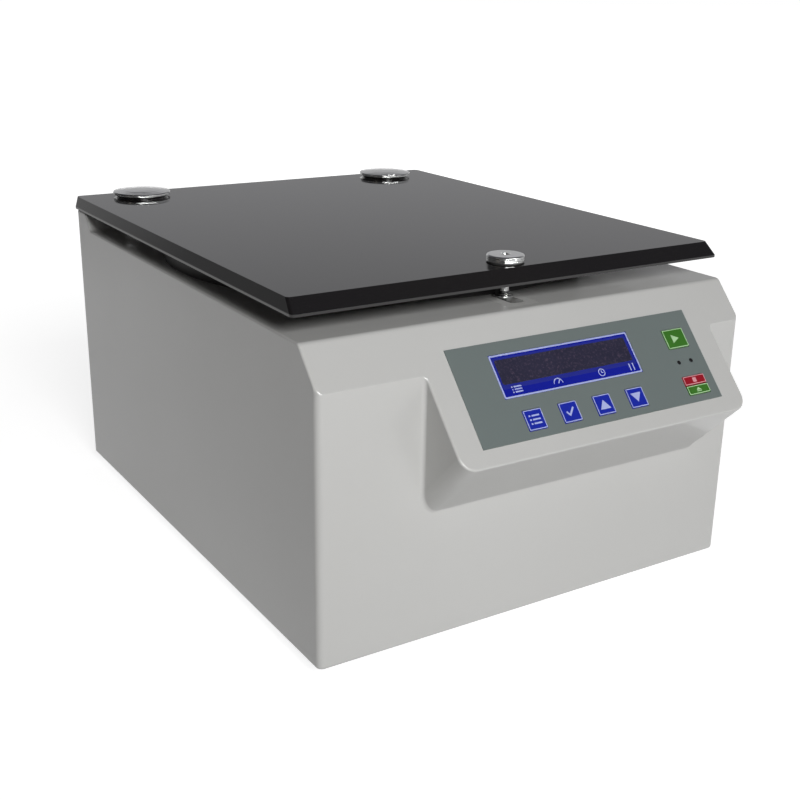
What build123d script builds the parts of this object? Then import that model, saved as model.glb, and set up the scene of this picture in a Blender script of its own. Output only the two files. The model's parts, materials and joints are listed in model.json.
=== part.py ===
from build123d import *
from math import atan2, cos, degrees, radians, sin
import os

# Bench cytocentrifuge: a moulded housing with a sloping control pod, a smoked
# lid plate on two rear hinges, and a rotor that swings slide holders in a bowl.
# Millimetres, +Z up, +Y to the back. The origin is on the bench, below the
# middle of the whole instrument.

os.makedirs("parts", exist_ok=True)

# ---- Housing -------------------------------------------------------------
body_height = 217.5            # bottom edge to deck
ground_gap = 8.0               # bottom edge above the bench
wall = 4.0
corner_radius = 5.0            # upright corners
edge_radius = 1.5              # pod nose and fold
fold_radius = 5.0              # long fold between facet and deck
base_edge_radius = 2.5
facet_rise = 26.5              # sloping facet between front wall and deck
facet_setback = 23.8
rail_depth = 24.0              # flat top of the raised hinge rail
rail_slope = 10.0
rail_blend = 5.0
rail_gap = 0.8                 # rail top below the lid
notch_width = 37.0             # gap in the rail round each hinge
notch_floor = 4.0              # above the deck

# ---- Control pod ---------------------------------------------------------
pod_width = 250.0
pod_center_x = 23.4
pod_face_length = 68.4         # from the fold down the slope
pod_root_height = 95.0         # where the underside meets the front wall
pod_corner_radius = 11.0
pod_root_radius = 3.0

# ---- Chamber bowl and seal -----------------------------------------------
bowl_radius = 150.0
bowl_front_margin = 86.0       # bowl wall to the housing's front wall
bowl_rear_margin = 64.0
bowl_side_margin = 30.0
bowl_depth = 100.0
bowl_thickness = 1.2
bowl_flange_width = 14.0
bowl_floor_fit = 0.05
bowl_shaft_hole_radius = 26.0
bowl_deck_clearance = 2.0
seal_width = 13.0
seal_overhang = 6.0            # beyond the bowl's flange
seal_lip_width = 4.0
seal_waist_height = 7.4
seal_inner_height = 5.0
seal_lid_gap = 0.4

# ---- Lid -----------------------------------------------------------------
lid_gap = 14.8                 # deck to lid underside
lid_thickness = 10.7
lid_side_overhang = 1.0
lid_front_setback = 29.5
lid_rear_overhang = 2.0
lid_lip = 1.8                  # upright part of the edge, under the bevel
lid_front_bevel = 9.2
lid_side_bevel = 1.9
lid_front_corner_radius = 3.0
lid_rear_corner_radius = 4.0

# ---- Knob and striker ----------------------------------------------------
knob_setback = 55.8            # front wall to knob axis
knob_radius = 13.5
knob_height = 4.4
knob_edge_radius = 1.4
knob_recess_radius = 3.2
knob_recess_depth = 1.2
knob_bore_radius = 1.1
knob_bore_depth = 2.0
knob_washer_thickness = 1.0
knob_washer_inset = 0.5
striker_stem_radius = 3.5
striker_stem_fit = 0.3
striker_socket_depth = 2.2
striker_collar_radius = 6.0
striker_collar_thickness = 1.0
striker_flare_radius = 6.5
striker_flare_height = 3.2
striker_rim_thickness = 0.8
striker_deck_gap = 0.9
tongue_width = 4.5
tongue_length = 10.0
tongue_offset = 1.3            # tongue ahead of the stem axis
tongue_depth = 22.0            # below the deck
tongue_chamfer = 1.5
tongue_window = 6.4            # square hole for the bolt
tongue_window_depth = 14.0     # its middle below the deck

# ---- Latch ---------------------------------------------------------------
slot_width = 12.0
slot_length = 26.0
slot_setback = 51.0
slot_corner_radius = 4.0
lock_box_wall = 8.0
lock_box_end_wall = 4.0
lock_box_height = 34.0
lock_box_floor = 4.0
lock_collar_lead = 6.0         # collar in the deck, ahead of the slot
lock_collar_margin = 1.6       # collar behind the slot
lock_collar_corner_radius = 3.0
lock_collar_fit = 0.2
lock_ear_length = 4.0          # under the deck, beyond the collar
lock_ear_thickness = 3.0
bolt_radius = 2.5
bolt_clearance = 0.3
bolt_travel = 15.0
bolt_retract = 1.0             # bolt tip behind the slot wall at rest
bolt_head_radius = 5.0
bolt_head_thickness = 3.0
bolt_lead = 0.6
solenoid_length = 36.0
solenoid_width = 22.0
solenoid_height = 19.0
solenoid_fit = 0.05

# ---- Lid hinges ----------------------------------------------------------
hinge_x = 127.0
cap_setback = 23.0             # rear wall to cap axis
cap_radius = 25.0
cap_height = 4.4
cap_dome = 1.8
cap_edge_chamfer = 0.6
cap_foot_radius = 21.5
cap_foot_flare = 1.5
cap_foot_height = 2.2
stud_radius = 5.0
stud_fit = 0.1
lid_hole_fit = 0.3
pad_thickness = 0.8
arm_thickness = 2.0
arm_width = 24.0
arm_front_reach = 12.0         # beyond the cap axis
arm_corner_radius = 5.0
nut_radius = 7.0
nut_thickness = 5.0
knuckle_radius = 4.0
knuckle_length = 16.0
knuckle_gap = 0.3
pin_radius = 2.0
pin_fit = 0.05
hinge_offset = 6.0             # pin axis behind the rear wall
leaf_width = 32.6
leaf_thickness = 2.0
leaf_height = 32.0
leaf_neck = 1.5                # wide part of the arm stops short of the pin's knuckles
leaf_screw_spacing_x = 20.0
leaf_screw_spacing_z = 16.0

# ---- Control panel -------------------------------------------------------
overlay_width = 210.6
overlay_height = 71.0
overlay_center_x = 23.6
overlay_center_s = -20.6       # along the slope, from the fold
overlay_thickness = 1.2
overlay_recess = 0.9
overlay_fit = 0.1
window_width = 120.0
window_height = 31.8
window_center_x = 9.1
window_center_s = -10.2
window_thickness = 1.0
window_ledge = 3.0
key_width = 15.0
key_height = 14.7
key_row_x = 9.3                # middle of the row of four
key_row_s = -43.5
key_pitch = 29.5
start_center_x = 110.4
start_center_s = -6.4
start_width = 19.6
start_height = 15.2
stop_center_s = -43.5
stop_width = 20.4
stop_height = 7.1
stop_gap = 0.6
key_rise = 0.8                 # key face above the facet
key_cap_depth = 3.0
key_stem_radius = 2.5
key_travel = 0.5
key_clearance = 0.3
key_wall_clearance = 0.6
key_edge_radius = 0.5
key_corner_radius = 0.8
lamp_center_x = 110.0
lamp_center_s = -24.8
lamp_spacing = 11.7
lamp_radius = 1.5
lamp_fit = 0.2
display_width = 126.0
display_height = 37.0
display_depth = 6.4
board_thickness = 1.6
board_gap = 7.0                # pillars between facet and board
board_margin = 4.0
pillar_radius = 3.0

# ---- Base ----------------------------------------------------------------
plate_thickness = 2.0
plate_recess = 1.0             # plate above the housing's bottom edge
plate_clearance = 0.4
boss_radius = 6.5
boss_height = 26.0
boss_inset = 9.5
screw_radius = 2.0
screw_head_radius = 4.0
screw_head_height = 2.2
screw_head_chamfer = 0.7
screw_depth = 12.0
foot_radius = 12.0
foot_taper = 2.0
foot_inset = 45.0
foot_stem_radius = 3.0
foot_barb_radius = 4.5
foot_barb_height = 2.5
foot_tip_radius = 2.0
vent_width = 3.0
vent_length = 44.0
vent_pitch = 8.0
vent_count = 9
rear_vent_margin = 110.0       # middle of the row to the housing's side
rear_vent_height = 40.0        # slot centres above the bottom edge

# ---- Drive ---------------------------------------------------------------
damper_radius = 10.0
damper_waist = 2.5
damper_height = 24.0
damper_spacing = 116.0
motor_plate_size = 144.0
motor_plate_thickness = 4.0
motor_radius = 52.0
motor_bowl_gap = 16.5          # motor top below the bowl's floor
motor_cap_height = 12.0
motor_cap_step = 4.0
motor_boss_radius = 20.0
motor_boss_height = 6.0
motor_edge = 3.0
bearing_radius = 16.0
bearing_width = 10.0
bearing_inset = 2.0
shaft_radius = 6.0
shaft_fit = 0.05
shaft_relief = 2.0
shaft_end_gap = 3.0
boot_thickness = 2.0
boot_flange = 4.0

# ---- Rotor ---------------------------------------------------------------
station_count = 4
station_angle = 45.0           # first station, from +X
rotor_floor_gap = 8.0          # hub underside above the bowl floor
hub_radius = 16.0
hub_height = 47.0
hub_flare_radius = 24.0
hub_flare_height = 5.0
plate_height = 24.0            # plate underside above the hub underside
rotor_plate_thickness = 5.0
rotor_rim_height = 4.0
rotor_rim_width = 3.0
shoulder_radius = 10.0
shoulder_height = 3.0
thread_radius = 5.0
thread_length = 14.0
nut_knob_radius = 18.0
nut_knob_height = 16.0
nut_flute_radius = 3.0
nut_flute_count = 12
pivot_radius = 90.0            # spindle axis to trunnion axis
pivot_height = 66.0            # trunnion axis above the bowl floor
lug_thickness = 4.0
lug_half_length = 7.0
lug_top = 5.0
lug_drop = 14.0
lug_root_radius = 52.0
trunnion_radius = 2.4
trunnion_fit = 0.08

# ---- Slide holder, in its own upright frame ------------------------------
rest_tilt = 10.0               # lower end leans in until the rotor spins
stop_gap = 0.4                 # funnel foot to the rotor plate's rim at rest
slide_width = 26.0
slide_length = 76.0
slide_thickness = 1.0
slide_top = 17.5               # above the trunnion axis
slide_face = 7.9               # slide's inner face outside the trunnion axis
clip_thickness = 1.2
clip_clearance = 0.1
clip_side_clearance = 0.4
clip_top = 12.0
clip_side_front = 4.6          # inner edge of the side walls
clip_ear_half = 5.0
clip_ear_front = -4.0
clip_window_width = 16.0
clip_window_height = 24.0
port_drop = 22.0               # sample port below the trunnion axis
trunnion_reach = 22.5          # trunnion end from the holder's centre line
funnel_width = 18.0
funnel_back = 14.0             # inner face of the block, inside the axis
funnel_top = 14.0
funnel_bottom = 30.0
funnel_flange_width = 25.0
funnel_flange_thickness = 1.4
funnel_flange_top = 10.0
funnel_flange_bottom = 34.0
funnel_card_gap = 0.3
well_center = 4.0              # well axis inside the trunnion axis
well_mouth_radius = 6.5
well_foot_radius = 3.2
well_port_radius = 2.5
well_depth = 37.0
funnel_edge = 2.5

# ---- Rear sockets --------------------------------------------------------
rear_socket_height = 42.0      # centres above the bottom edge
inlet_side_margin = 62.0       # inlet middle to the housing's side
inlet_flange_width = 50.0
inlet_flange_height = 35.0
inlet_flange_thickness = 2.5
inlet_flange_corner = 3.0
inlet_body_width = 29.0
inlet_body_height = 32.0
inlet_body_depth = 22.0
inlet_fit = 0.5
socket_width = 24.4
socket_height = 16.6
socket_depth = 17.0
socket_rise = 6.0
socket_chamfer = 3.0
blade_width = 2.0
blade_height = 4.0
blade_length = 11.5
blade_spacing = 14.0
blade_stagger = 4.0
drawer_width = 24.0
drawer_height = 8.8
drawer_hold = 6.0              # left in its guide when drawn out
drawer_drop = 10.5
drawer_fit = 0.3
drawer_lip_width = 26.0
drawer_lip_height = 9.6
drawer_lip_thickness = 1.6
drawer_travel = 12.0
switch_spacing = 52.0          # inlet middle to switch middle
switch_bezel_width = 18.0
switch_bezel_height = 25.0
switch_bezel_thickness = 1.6
switch_body_width = 15.4
switch_body_height = 21.4
switch_body_depth = 18.0
switch_pocket_depth = 12.0
rocker_width = 12.0
rocker_length = 17.6
rocker_crown = 3.0
rocker_dip = 1.4
rocker_root_half = 6.0
rocker_root_depth = 4.0
rocker_tilt = 9.0
rocker_fit = 0.35
rocker_end_clearance = 0.7
rocker_pin_radius = 1.2
rocker_pin_fit = 0.05
rocker_pin_depth = 1.6         # pivot axis below the bezel's face
rocker_pin_reach = 0.9         # into each side wall of the bezel
rocker_pin_end_gap = 0.1

# ---- Electronics on the base plate ---------------------------------------
supply_length = 150.0
supply_width = 64.0
supply_height = 42.0
supply_side_gap = 19.0         # to the housing's side wall
supply_vent_pitch = 12.0
supply_vent_count = 9
drive_board_length = 150.0
drive_board_width = 64.0
drive_board_side_gap = 20.0
drive_pillar_height = 8.0
drive_pillar_inset = 6.0
sink_length = 70.0
sink_width = 40.0
sink_base = 4.0
sink_height = 26.0
sink_fin_thickness = 2.0
sink_fin_count = 7
capacitor_radius = 11.0
capacitor_height = 30.0
capacitor_spacing = 28.0
capacitor_offset = 37.5        # along the board, from its middle

# ---- Levels and places worked out from the sizes above --------------------
body_width = 2 * (bowl_radius + bowl_side_margin)
body_depth = 2 * bowl_radius + bowl_front_margin + bowl_rear_margin
facet_angle = atan2(facet_rise, facet_setback)
facet_run = cos(facet_angle)
facet_climb = sin(facet_angle)
pod_reach = pod_face_length * facet_run
pod_rise = body_height - facet_rise - pod_face_length * facet_climb - pod_root_height
nose_half_angle = (facet_angle + atan2(pod_rise, pod_reach)) / 2
nose_round = edge_radius * (cos(facet_angle - nose_half_angle) / sin(nose_half_angle) - 1)
overall_depth = pod_reach - nose_round + body_depth + hinge_offset + knuckle_radius
front_y = pod_reach - nose_round - overall_depth / 2
rear_y = front_y + body_depth
bottom_z = ground_gap
deck_z = bottom_z + body_height
fold_z = deck_z - facet_rise
lid_under_z = deck_z + lid_gap
lid_top_z = lid_under_z + lid_thickness
rail_top_z = lid_under_z - rail_gap
rail_top_y = rear_y - rail_depth
rail_foot_y = rail_top_y - rail_slope
notch_z = deck_z + notch_floor
pod_nose = (front_y - pod_reach, fold_z - pod_face_length * facet_climb)
pod_root_z = bottom_z + pod_root_height
pod_slope = (pod_root_z - pod_nose[1]) / pod_reach
chamber_y = front_y + bowl_front_margin + bowl_radius
bowl_floor_z = deck_z - bowl_depth
bowl_flange_radius = bowl_radius + bowl_flange_width
seal_outer_radius = bowl_flange_radius + seal_overhang
seal_inner_radius = seal_outer_radius - seal_width
knob_y = front_y + knob_setback
cap_y = rear_y - cap_setback
pin_y = rear_y + hinge_offset
pin_z = lid_under_z - pad_thickness - knuckle_radius
slot_y = front_y + slot_setback
collar_y = slot_y + (lock_collar_margin - lock_collar_lead) / 2
collar_width = slot_width + 2 * lock_box_wall
collar_length = lock_collar_lead + slot_length + lock_collar_margin
plate_bottom_z = bottom_z + plate_recess
plate_top_z = plate_bottom_z + plate_thickness
motor_plate_z = plate_top_z + damper_height
motor_z = motor_plate_z + motor_plate_thickness
motor_top_z = bowl_floor_z - motor_bowl_gap
hub_z = bowl_floor_z + rotor_floor_gap
rotor_plate_z = hub_z + plate_height
pivot_z = bowl_floor_z + pivot_height
lean = radians(rest_tilt)
plate_radius = pivot_radius - funnel_back * cos(lean) - funnel_bottom * sin(lean) - stop_gap
socket_z = bottom_z + rear_socket_height
inlet_x = body_width / 2 - inlet_side_margin
switch_x = inlet_x - switch_spacing
rear_vent_x = rear_vent_margin - body_width / 2
board_face = -wall - board_gap
drawer_depth = drawer_travel + drawer_hold
supply_x = body_width / 2 - wall - supply_side_gap - supply_width / 2
drive_board_x = drive_board_side_gap + drive_board_width / 2 + wall - body_width / 2

# The facet and the pod face are one plane. Local x is the row's X, local y
# runs up the slope from the fold, and the normal points out of the panel.
panel_plane = Plane(
    origin=(0, front_y, fold_z), x_dir=(1, 0, 0), z_dir=(0, -facet_climb, facet_run)
)
rear_plane = Plane(origin=(0, rear_y, 0), x_dir=(-1, 0, 0), z_dir=(0, 1, 0))
left_side = Plane.YZ.offset(-body_width / 2)


def on_facet(point):
    """True for a point on the plane that facet and pod face share."""
    return abs(panel_plane.to_local_coords(point).Z) < 0.01


def corner_grid(spacing_x, spacing_y):
    """Four places at the corners of a rectangle."""
    return GridLocations(spacing_x, spacing_y, 2, 2)


# Every key: name, middle along x, middle up the slope, width, height
key_table = [
    (f"key_{word}", key_row_x + (index - 1.5) * key_pitch, key_row_s, key_width, key_height)
    for index, word in enumerate(["program", "select", "up", "down"])
]
stop_step = (stop_height + stop_gap) / 2
key_table += [
    ("key_start", start_center_x, start_center_s, start_width, start_height),
    ("key_stop", start_center_x, stop_center_s + stop_step, stop_width, stop_height),
    ("key_open", start_center_x, stop_center_s - stop_step, stop_width, stop_height),
]

# ==== Housing ==============================================================
with BuildPart() as pod:
    with BuildSketch(Plane.YZ.offset(pod_center_x - pod_width / 2)) as pod_section:
        with BuildLine():
            Polyline(
                pod_nose,
                (front_y + wall, fold_z + wall * facet_rise / facet_setback),
                (front_y + wall, pod_root_z + wall * pod_slope),
                close=True,
            )
        make_face()
    extrude(amount=pod_width)
    # the two lower corners, along the sloping underside
    pod_corners = pod.edges().filter_by(
        lambda edge: edge.center().Z < pod_nose[1] and abs(edge.center().X - pod_center_x) > 1
    )
    fillet(pod_corners.filter_by(Axis.Z, reverse=True), radius=pod_corner_radius)

with BuildPart() as housing:
    # outer block: front wall, facet, deck and the raised hinge rail
    with BuildSketch(left_side) as side_section:
        with BuildLine():
            Polyline(
                (front_y, bottom_z),
                (front_y, fold_z),
                (front_y + facet_setback, deck_z),
                (rail_foot_y, deck_z),
                (rail_top_y, rail_top_z),
                (rear_y, rail_top_z),
                (rear_y, bottom_z),
                close=True,
            )
        make_face()
        fillet(
            vertices().filter_by_position(Axis.X, rail_foot_y, rail_top_y),
            radius=rail_blend,
        )
    extrude(amount=body_width)
    fillet(edges().filter_by(Axis.Z), radius=corner_radius)
    deck_fold = edges().filter_by(Axis.X).filter_by(
        lambda edge: abs(edge.center().Y - front_y - facet_setback) < 0.01
    )
    fillet(deck_fold, radius=fold_radius)

    # the control pod grows out of the front wall, its face flush with the facet
    add(pod.part)
    pod_root = edges().filter_by(
        lambda edge: abs(edge.center().Y - front_y) < 0.01
        and pod_root_z - 1 < edge.center().Z < fold_z - 1
        and abs(edge.center().X - pod_center_x) < pod_width / 2 + 1
    )
    fillet(pod_root, radius=pod_root_radius)
    fold_and_nose = edges().filter_by(
        lambda edge: on_facet(edge @ 0) and on_facet(edge @ 1) and edge.center().Z < deck_z - 1
    )
    fillet(fold_and_nose, radius=edge_radius)
    fillet(edges().group_by(Axis.Z)[0], radius=base_edge_radius)

    # inside of the shell, open at the bottom
    with BuildSketch(Plane.YZ.offset(wall - body_width / 2)) as body_cavity:
        with BuildLine():
            Polyline(
                (front_y, bottom_z - 2 * wall),
                (front_y, fold_z),
                (front_y + facet_setback, deck_z),
                (rear_y, deck_z),
                (rear_y, bottom_z - 2 * wall),
                close=True,
            )
        make_face()
        offset(amount=-wall, kind=Kind.INTERSECTION)
    extrude(amount=body_width - 2 * wall, mode=Mode.SUBTRACT)
    with BuildSketch(Plane.YZ.offset(pod_center_x - pod_width / 2 + wall)) as pod_cavity:
        with BuildLine():
            Polyline(
                pod_nose,
                (front_y + facet_setback, deck_z),
                (front_y + facet_setback, pod_root_z + facet_setback * pod_slope),
                close=True,
            )
        make_face()
        offset(amount=-wall, kind=Kind.INTERSECTION)
    extrude(amount=pod_width - 2 * wall, mode=Mode.SUBTRACT)

    # screw bosses along the side walls
    boss_x = body_width / 2 - boss_inset
    boss_y = body_depth / 2 - boss_inset
    middle_y = front_y + body_depth / 2
    boss_places = [(x, middle_y + y) for x in (-boss_x, boss_x) for y in (-boss_y, 0, boss_y)]
    with BuildSketch(Plane.XY.offset(plate_top_z)) as boss_section:
        with Locations(*boss_places):
            Circle(boss_radius)
    extrude(amount=boss_height)
    with BuildSketch(Plane.XY.offset(plate_top_z)) as boss_bores:
        with Locations(*boss_places):
            Circle(screw_radius)
    extrude(amount=screw_depth, mode=Mode.SUBTRACT)

    # chamber opening in the deck, and the hole for the lid lock's collar
    with BuildSketch(Plane.XY.offset(deck_z - wall)) as deck_openings:
        with Locations((0, chamber_y)):
            Circle(bowl_radius + bowl_thickness + bowl_deck_clearance)
        with Locations((0, collar_y)):
            RectangleRounded(
                collar_width + 2 * lock_collar_fit,
                collar_length + 2 * lock_collar_fit,
                lock_collar_corner_radius,
            )
    extrude(amount=wall, mode=Mode.SUBTRACT)

    # notches that let the hinge arms through the rail
    with BuildSketch(Plane.XY.offset(notch_z)) as rail_notches:
        with Locations((-hinge_x, rail_foot_y), (hinge_x, rail_foot_y)):
            Rectangle(notch_width, body_depth, align=(Align.CENTER, Align.MIN))
    extrude(amount=lid_gap, mode=Mode.SUBTRACT)

    # shallow seat for the control overlay, and the openings behind it
    with BuildSketch(panel_plane.offset(-overlay_recess)) as overlay_seat:
        with Locations((overlay_center_x, overlay_center_s)):
            Rectangle(overlay_width + 2 * overlay_fit, overlay_height + 2 * overlay_fit)
    extrude(amount=overlay_recess, mode=Mode.SUBTRACT)
    with BuildSketch(panel_plane) as panel_openings:
        with Locations((window_center_x, window_center_s)):
            Rectangle(window_width - 2 * window_ledge, window_height - 2 * window_ledge)
        for _, key_x, key_s, width, height in key_table[:-2]:
            with Locations((key_x, key_s)):
                Rectangle(width + 2 * key_wall_clearance, height + 2 * key_wall_clearance)
        with Locations((start_center_x, stop_center_s)):
            Rectangle(
                stop_width + 2 * key_wall_clearance,
                2 * stop_height + stop_gap + 2 * key_wall_clearance,
            )
        with Locations((lamp_center_x, lamp_center_s)):
            with GridLocations(lamp_spacing, 1, 2, 1):
                Circle(lamp_radius + 2 * lamp_fit)
    extrude(amount=-wall, mode=Mode.SUBTRACT)

    # mains inlet and switch cut-outs, and cooling slots, in the rear wall
    with BuildSketch(rear_plane) as rear_openings:
        with Locations((-inlet_x, socket_z)):
            Rectangle(inlet_body_width + inlet_fit, inlet_body_height + inlet_fit)
        with Locations((-switch_x, socket_z)):
            Rectangle(switch_body_width + inlet_fit, switch_body_height + inlet_fit)
        with Locations((-rear_vent_x, bottom_z + rear_vent_height)):
            with GridLocations(vent_pitch, 1, vent_count, 1):
                SlotOverall(vent_length, vent_width, rotation=90)
    extrude(amount=-wall, mode=Mode.SUBTRACT)
housing.part.label = "housing"
export_step(housing.part, "parts/housing.step")

# ==== Base plate, screws and feet ==========================================
plate_width = body_width - 2 * wall - 2 * plate_clearance
plate_depth = body_depth - 2 * wall - 2 * plate_clearance
foot_x = body_width / 2 - foot_inset
foot_y = body_depth / 2 - foot_inset
with BuildPart() as base_plate:
    with BuildSketch(Plane.XY.offset(plate_bottom_z)) as plate_section:
        with Locations((0, middle_y)):
            Rectangle(plate_width, plate_depth)
            with corner_grid(2 * foot_x, 2 * foot_y):
                Circle(foot_stem_radius, mode=Mode.SUBTRACT)
            with GridLocations(vent_pitch, 2 * foot_y - vent_length, vent_count, 2):
                SlotOverall(vent_length, vent_width, rotation=90, mode=Mode.SUBTRACT)
        with Locations(*boss_places):
            Circle(screw_radius, mode=Mode.SUBTRACT)
    extrude(amount=plate_thickness)
base_plate.part.label = "base_plate"
export_step(base_plate.part, "parts/base_plate.step")

with BuildPart() as base_screws:
    with BuildSketch(Plane.XY.offset(plate_bottom_z - screw_head_height)) as screw_heads:
        with Locations(*boss_places):
            Circle(screw_head_radius)
    extrude(amount=screw_head_height)
    chamfer(edges().group_by(Axis.Z)[0], length=screw_head_chamfer)
    with BuildSketch(Plane.XY.offset(plate_bottom_z)) as screw_shanks:
        with Locations(*boss_places):
            Circle(screw_radius)
    extrude(amount=plate_thickness + screw_depth)
base_screws.part.label = "base_screws"
export_step(base_screws.part, "parts/base_screws.step")

with BuildPart() as rubber_foot:
    with BuildSketch(Plane.XZ) as foot_section:
        with BuildLine():
            Polyline(
                (0, 0),
                (foot_radius - foot_taper, 0),
                (foot_radius, plate_bottom_z),
                (foot_stem_radius, plate_bottom_z),
                (foot_stem_radius, plate_top_z),
                (foot_barb_radius, plate_top_z),
                (foot_tip_radius, plate_top_z + foot_barb_height),
                (0, plate_top_z + foot_barb_height),
                close=True,
            )
        make_face()
    revolve(axis=Axis.Z)
with BuildPart() as rubber_feet:
    with Locations((0, middle_y)):
        with corner_grid(2 * foot_x, 2 * foot_y):
            add(rubber_foot.part)
rubber_feet.part.label = "rubber_feet"
export_step(rubber_feet.part, "parts/rubber_feet.step")

# ==== Chamber bowl, lid seal and shaft boot ================================
spindle_plane = Plane(origin=(0, chamber_y, 0), x_dir=(1, 0, 0), z_dir=(0, -1, 0))
spindle_axis = Axis((0, chamber_y, 0), (0, 0, 1))
bowl_outer_radius = bowl_radius + bowl_thickness
bowl_underside_z = bowl_floor_z - bowl_thickness
with BuildPart() as chamber_bowl:
    with BuildSketch(spindle_plane) as bowl_section:
        with BuildLine():
            Polyline(
                (bowl_radius, bowl_underside_z),
                (bowl_outer_radius, bowl_underside_z),
                (bowl_outer_radius, deck_z),
                (bowl_flange_radius, deck_z),
                (bowl_flange_radius, deck_z + bowl_thickness),
                (bowl_outer_radius, deck_z + bowl_thickness),
                (bowl_radius, deck_z),
                close=True,
            )
        make_face()
    revolve(axis=spindle_axis)
chamber_bowl.part.label = "chamber_bowl"
export_step(chamber_bowl.part, "parts/chamber_bowl.step")

with BuildPart() as bowl_floor:
    with BuildSketch(Plane.XY.offset(bowl_underside_z)) as floor_section:
        with Locations((0, chamber_y)):
            Circle(bowl_radius - bowl_floor_fit)
            Circle(bowl_shaft_hole_radius, mode=Mode.SUBTRACT)
    extrude(amount=bowl_thickness)
bowl_floor.part.label = "bowl_floor"
export_step(bowl_floor.part, "parts/bowl_floor.step")

seal_top_z = lid_under_z - seal_lid_gap
with BuildPart() as chamber_seal:
    with BuildSketch(spindle_plane) as seal_section:
        with BuildLine():
            Polyline(
                (seal_inner_radius, deck_z + bowl_thickness),
                (bowl_flange_radius, deck_z + bowl_thickness),
                (bowl_flange_radius, deck_z),
                (seal_outer_radius, deck_z),
                (seal_outer_radius, seal_top_z),
                (seal_outer_radius - seal_lip_width, seal_top_z),
                (seal_outer_radius - 2 * seal_lip_width, deck_z + seal_waist_height),
                (seal_inner_radius, deck_z + seal_inner_height),
                close=True,
            )
        make_face()
    revolve(axis=spindle_axis)
chamber_seal.part.label = "chamber_seal"
export_step(chamber_seal.part, "parts/chamber_seal.step")

boot_top_z = bowl_floor_z - bowl_thickness
boot_radius = bowl_shaft_hole_radius + boot_flange
with BuildPart() as shaft_boot:
    with BuildSketch(spindle_plane) as boot_section:
        with BuildLine():
            Polyline(
                (motor_boss_radius, motor_top_z),
                (motor_boss_radius + boot_thickness, motor_top_z),
                (motor_boss_radius + boot_thickness, motor_top_z + motor_boss_height),
                (boot_radius, boot_top_z - boot_thickness),
                (boot_radius, boot_top_z),
                (bowl_shaft_hole_radius, boot_top_z),
                (motor_boss_radius, motor_top_z + motor_boss_height),
                close=True,
            )
        make_face()
    revolve(axis=spindle_axis)
shaft_boot.part.label = "shaft_boot"
export_step(shaft_boot.part, "parts/shaft_boot.step")

# ==== Motor and its mounting ===============================================
with BuildPart() as damper:
    with BuildSketch(Plane.XZ) as damper_section:
        with BuildLine():
            Polyline(
                (0, 0),
                (damper_radius, 0),
                (damper_radius - damper_waist, damper_height / 2),
                (damper_radius, damper_height),
                (0, damper_height),
                close=True,
            )
        make_face()
    revolve(axis=Axis.Z)
with BuildPart() as motor_dampers:
    with Locations((0, chamber_y, plate_top_z)):
        with corner_grid(damper_spacing, damper_spacing):
            add(damper.part)
motor_dampers.part.label = "motor_dampers"
export_step(motor_dampers.part, "parts/motor_dampers.step")

with BuildPart() as motor_plate:
    with BuildSketch(Plane.XY.offset(motor_plate_z)) as motor_plate_section:
        with Locations((0, chamber_y)):
            Rectangle(motor_plate_size, motor_plate_size)
        chamfer(vertices(), length=damper_radius)
    extrude(amount=motor_plate_thickness)
motor_plate.part.label = "motor_plate"
export_step(motor_plate.part, "parts/motor_plate.step")

lower_bearing_z = motor_z + bearing_inset
upper_bearing_z = motor_top_z - bearing_inset - bearing_width
with BuildPart() as motor_housing:
    with BuildSketch(spindle_plane) as motor_section:
        with BuildLine():
            Polyline(
                (shaft_radius + shaft_relief, motor_z),
                (motor_radius - motor_edge, motor_z),
                (motor_radius, motor_z + motor_edge),
                (motor_radius, motor_z + motor_cap_height),
                (motor_radius - motor_cap_step, motor_z + motor_cap_height),
                (motor_radius - motor_cap_step, motor_top_z - motor_cap_height),
                (motor_radius, motor_top_z - motor_cap_height),
                (motor_radius, motor_top_z - motor_edge),
                (motor_radius - motor_edge, motor_top_z),
                (motor_boss_radius, motor_top_z),
                (motor_boss_radius, motor_top_z + motor_boss_height),
                (shaft_radius + shaft_relief, motor_top_z + motor_boss_height),
                close=True,
            )
        make_face()
        for seat_z in (lower_bearing_z, upper_bearing_z):
            with Locations((0, seat_z)):
                Rectangle(
                    bearing_radius,
                    bearing_width,
                    align=(Align.MIN, Align.MIN),
                    mode=Mode.SUBTRACT,
                )
    revolve(axis=spindle_axis)
motor_housing.part.label = "motor_housing"
export_step(motor_housing.part, "parts/motor_housing.step")

with BuildPart() as motor_bearings:
    with BuildSketch(spindle_plane) as bearing_section:
        for seat_z in (lower_bearing_z, upper_bearing_z):
            with Locations((shaft_radius + shaft_fit, seat_z)):
                Rectangle(
                    bearing_radius - shaft_radius - shaft_fit,
                    bearing_width,
                    align=(Align.MIN, Align.MIN),
                )
    revolve(axis=spindle_axis)
motor_bearings.part.label = "motor_bearings"
export_step(motor_bearings.part, "parts/motor_bearings.step")

# ==== Rotor ================================================================
hub_top_z = hub_z + hub_height
with BuildPart() as rotor_shaft:
    with BuildSketch(spindle_plane) as shaft_section:
        with BuildLine():
            Polyline(
                (0, motor_z + shaft_end_gap),
                (shaft_radius, motor_z + shaft_end_gap),
                (shaft_radius, hub_z - shoulder_height),
                (shoulder_radius, hub_z - shoulder_height),
                (shoulder_radius, hub_z),
                (shaft_radius, hub_z),
                (shaft_radius, hub_top_z),
                (thread_radius, hub_top_z),
                (thread_radius, hub_top_z + thread_length),
                (0, hub_top_z + thread_length),
                close=True,
            )
        make_face()
    revolve(axis=spindle_axis)
rotor_shaft.part.label = "rotor_shaft"
export_step(rotor_shaft.part, "parts/rotor_shaft.step")


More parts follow.
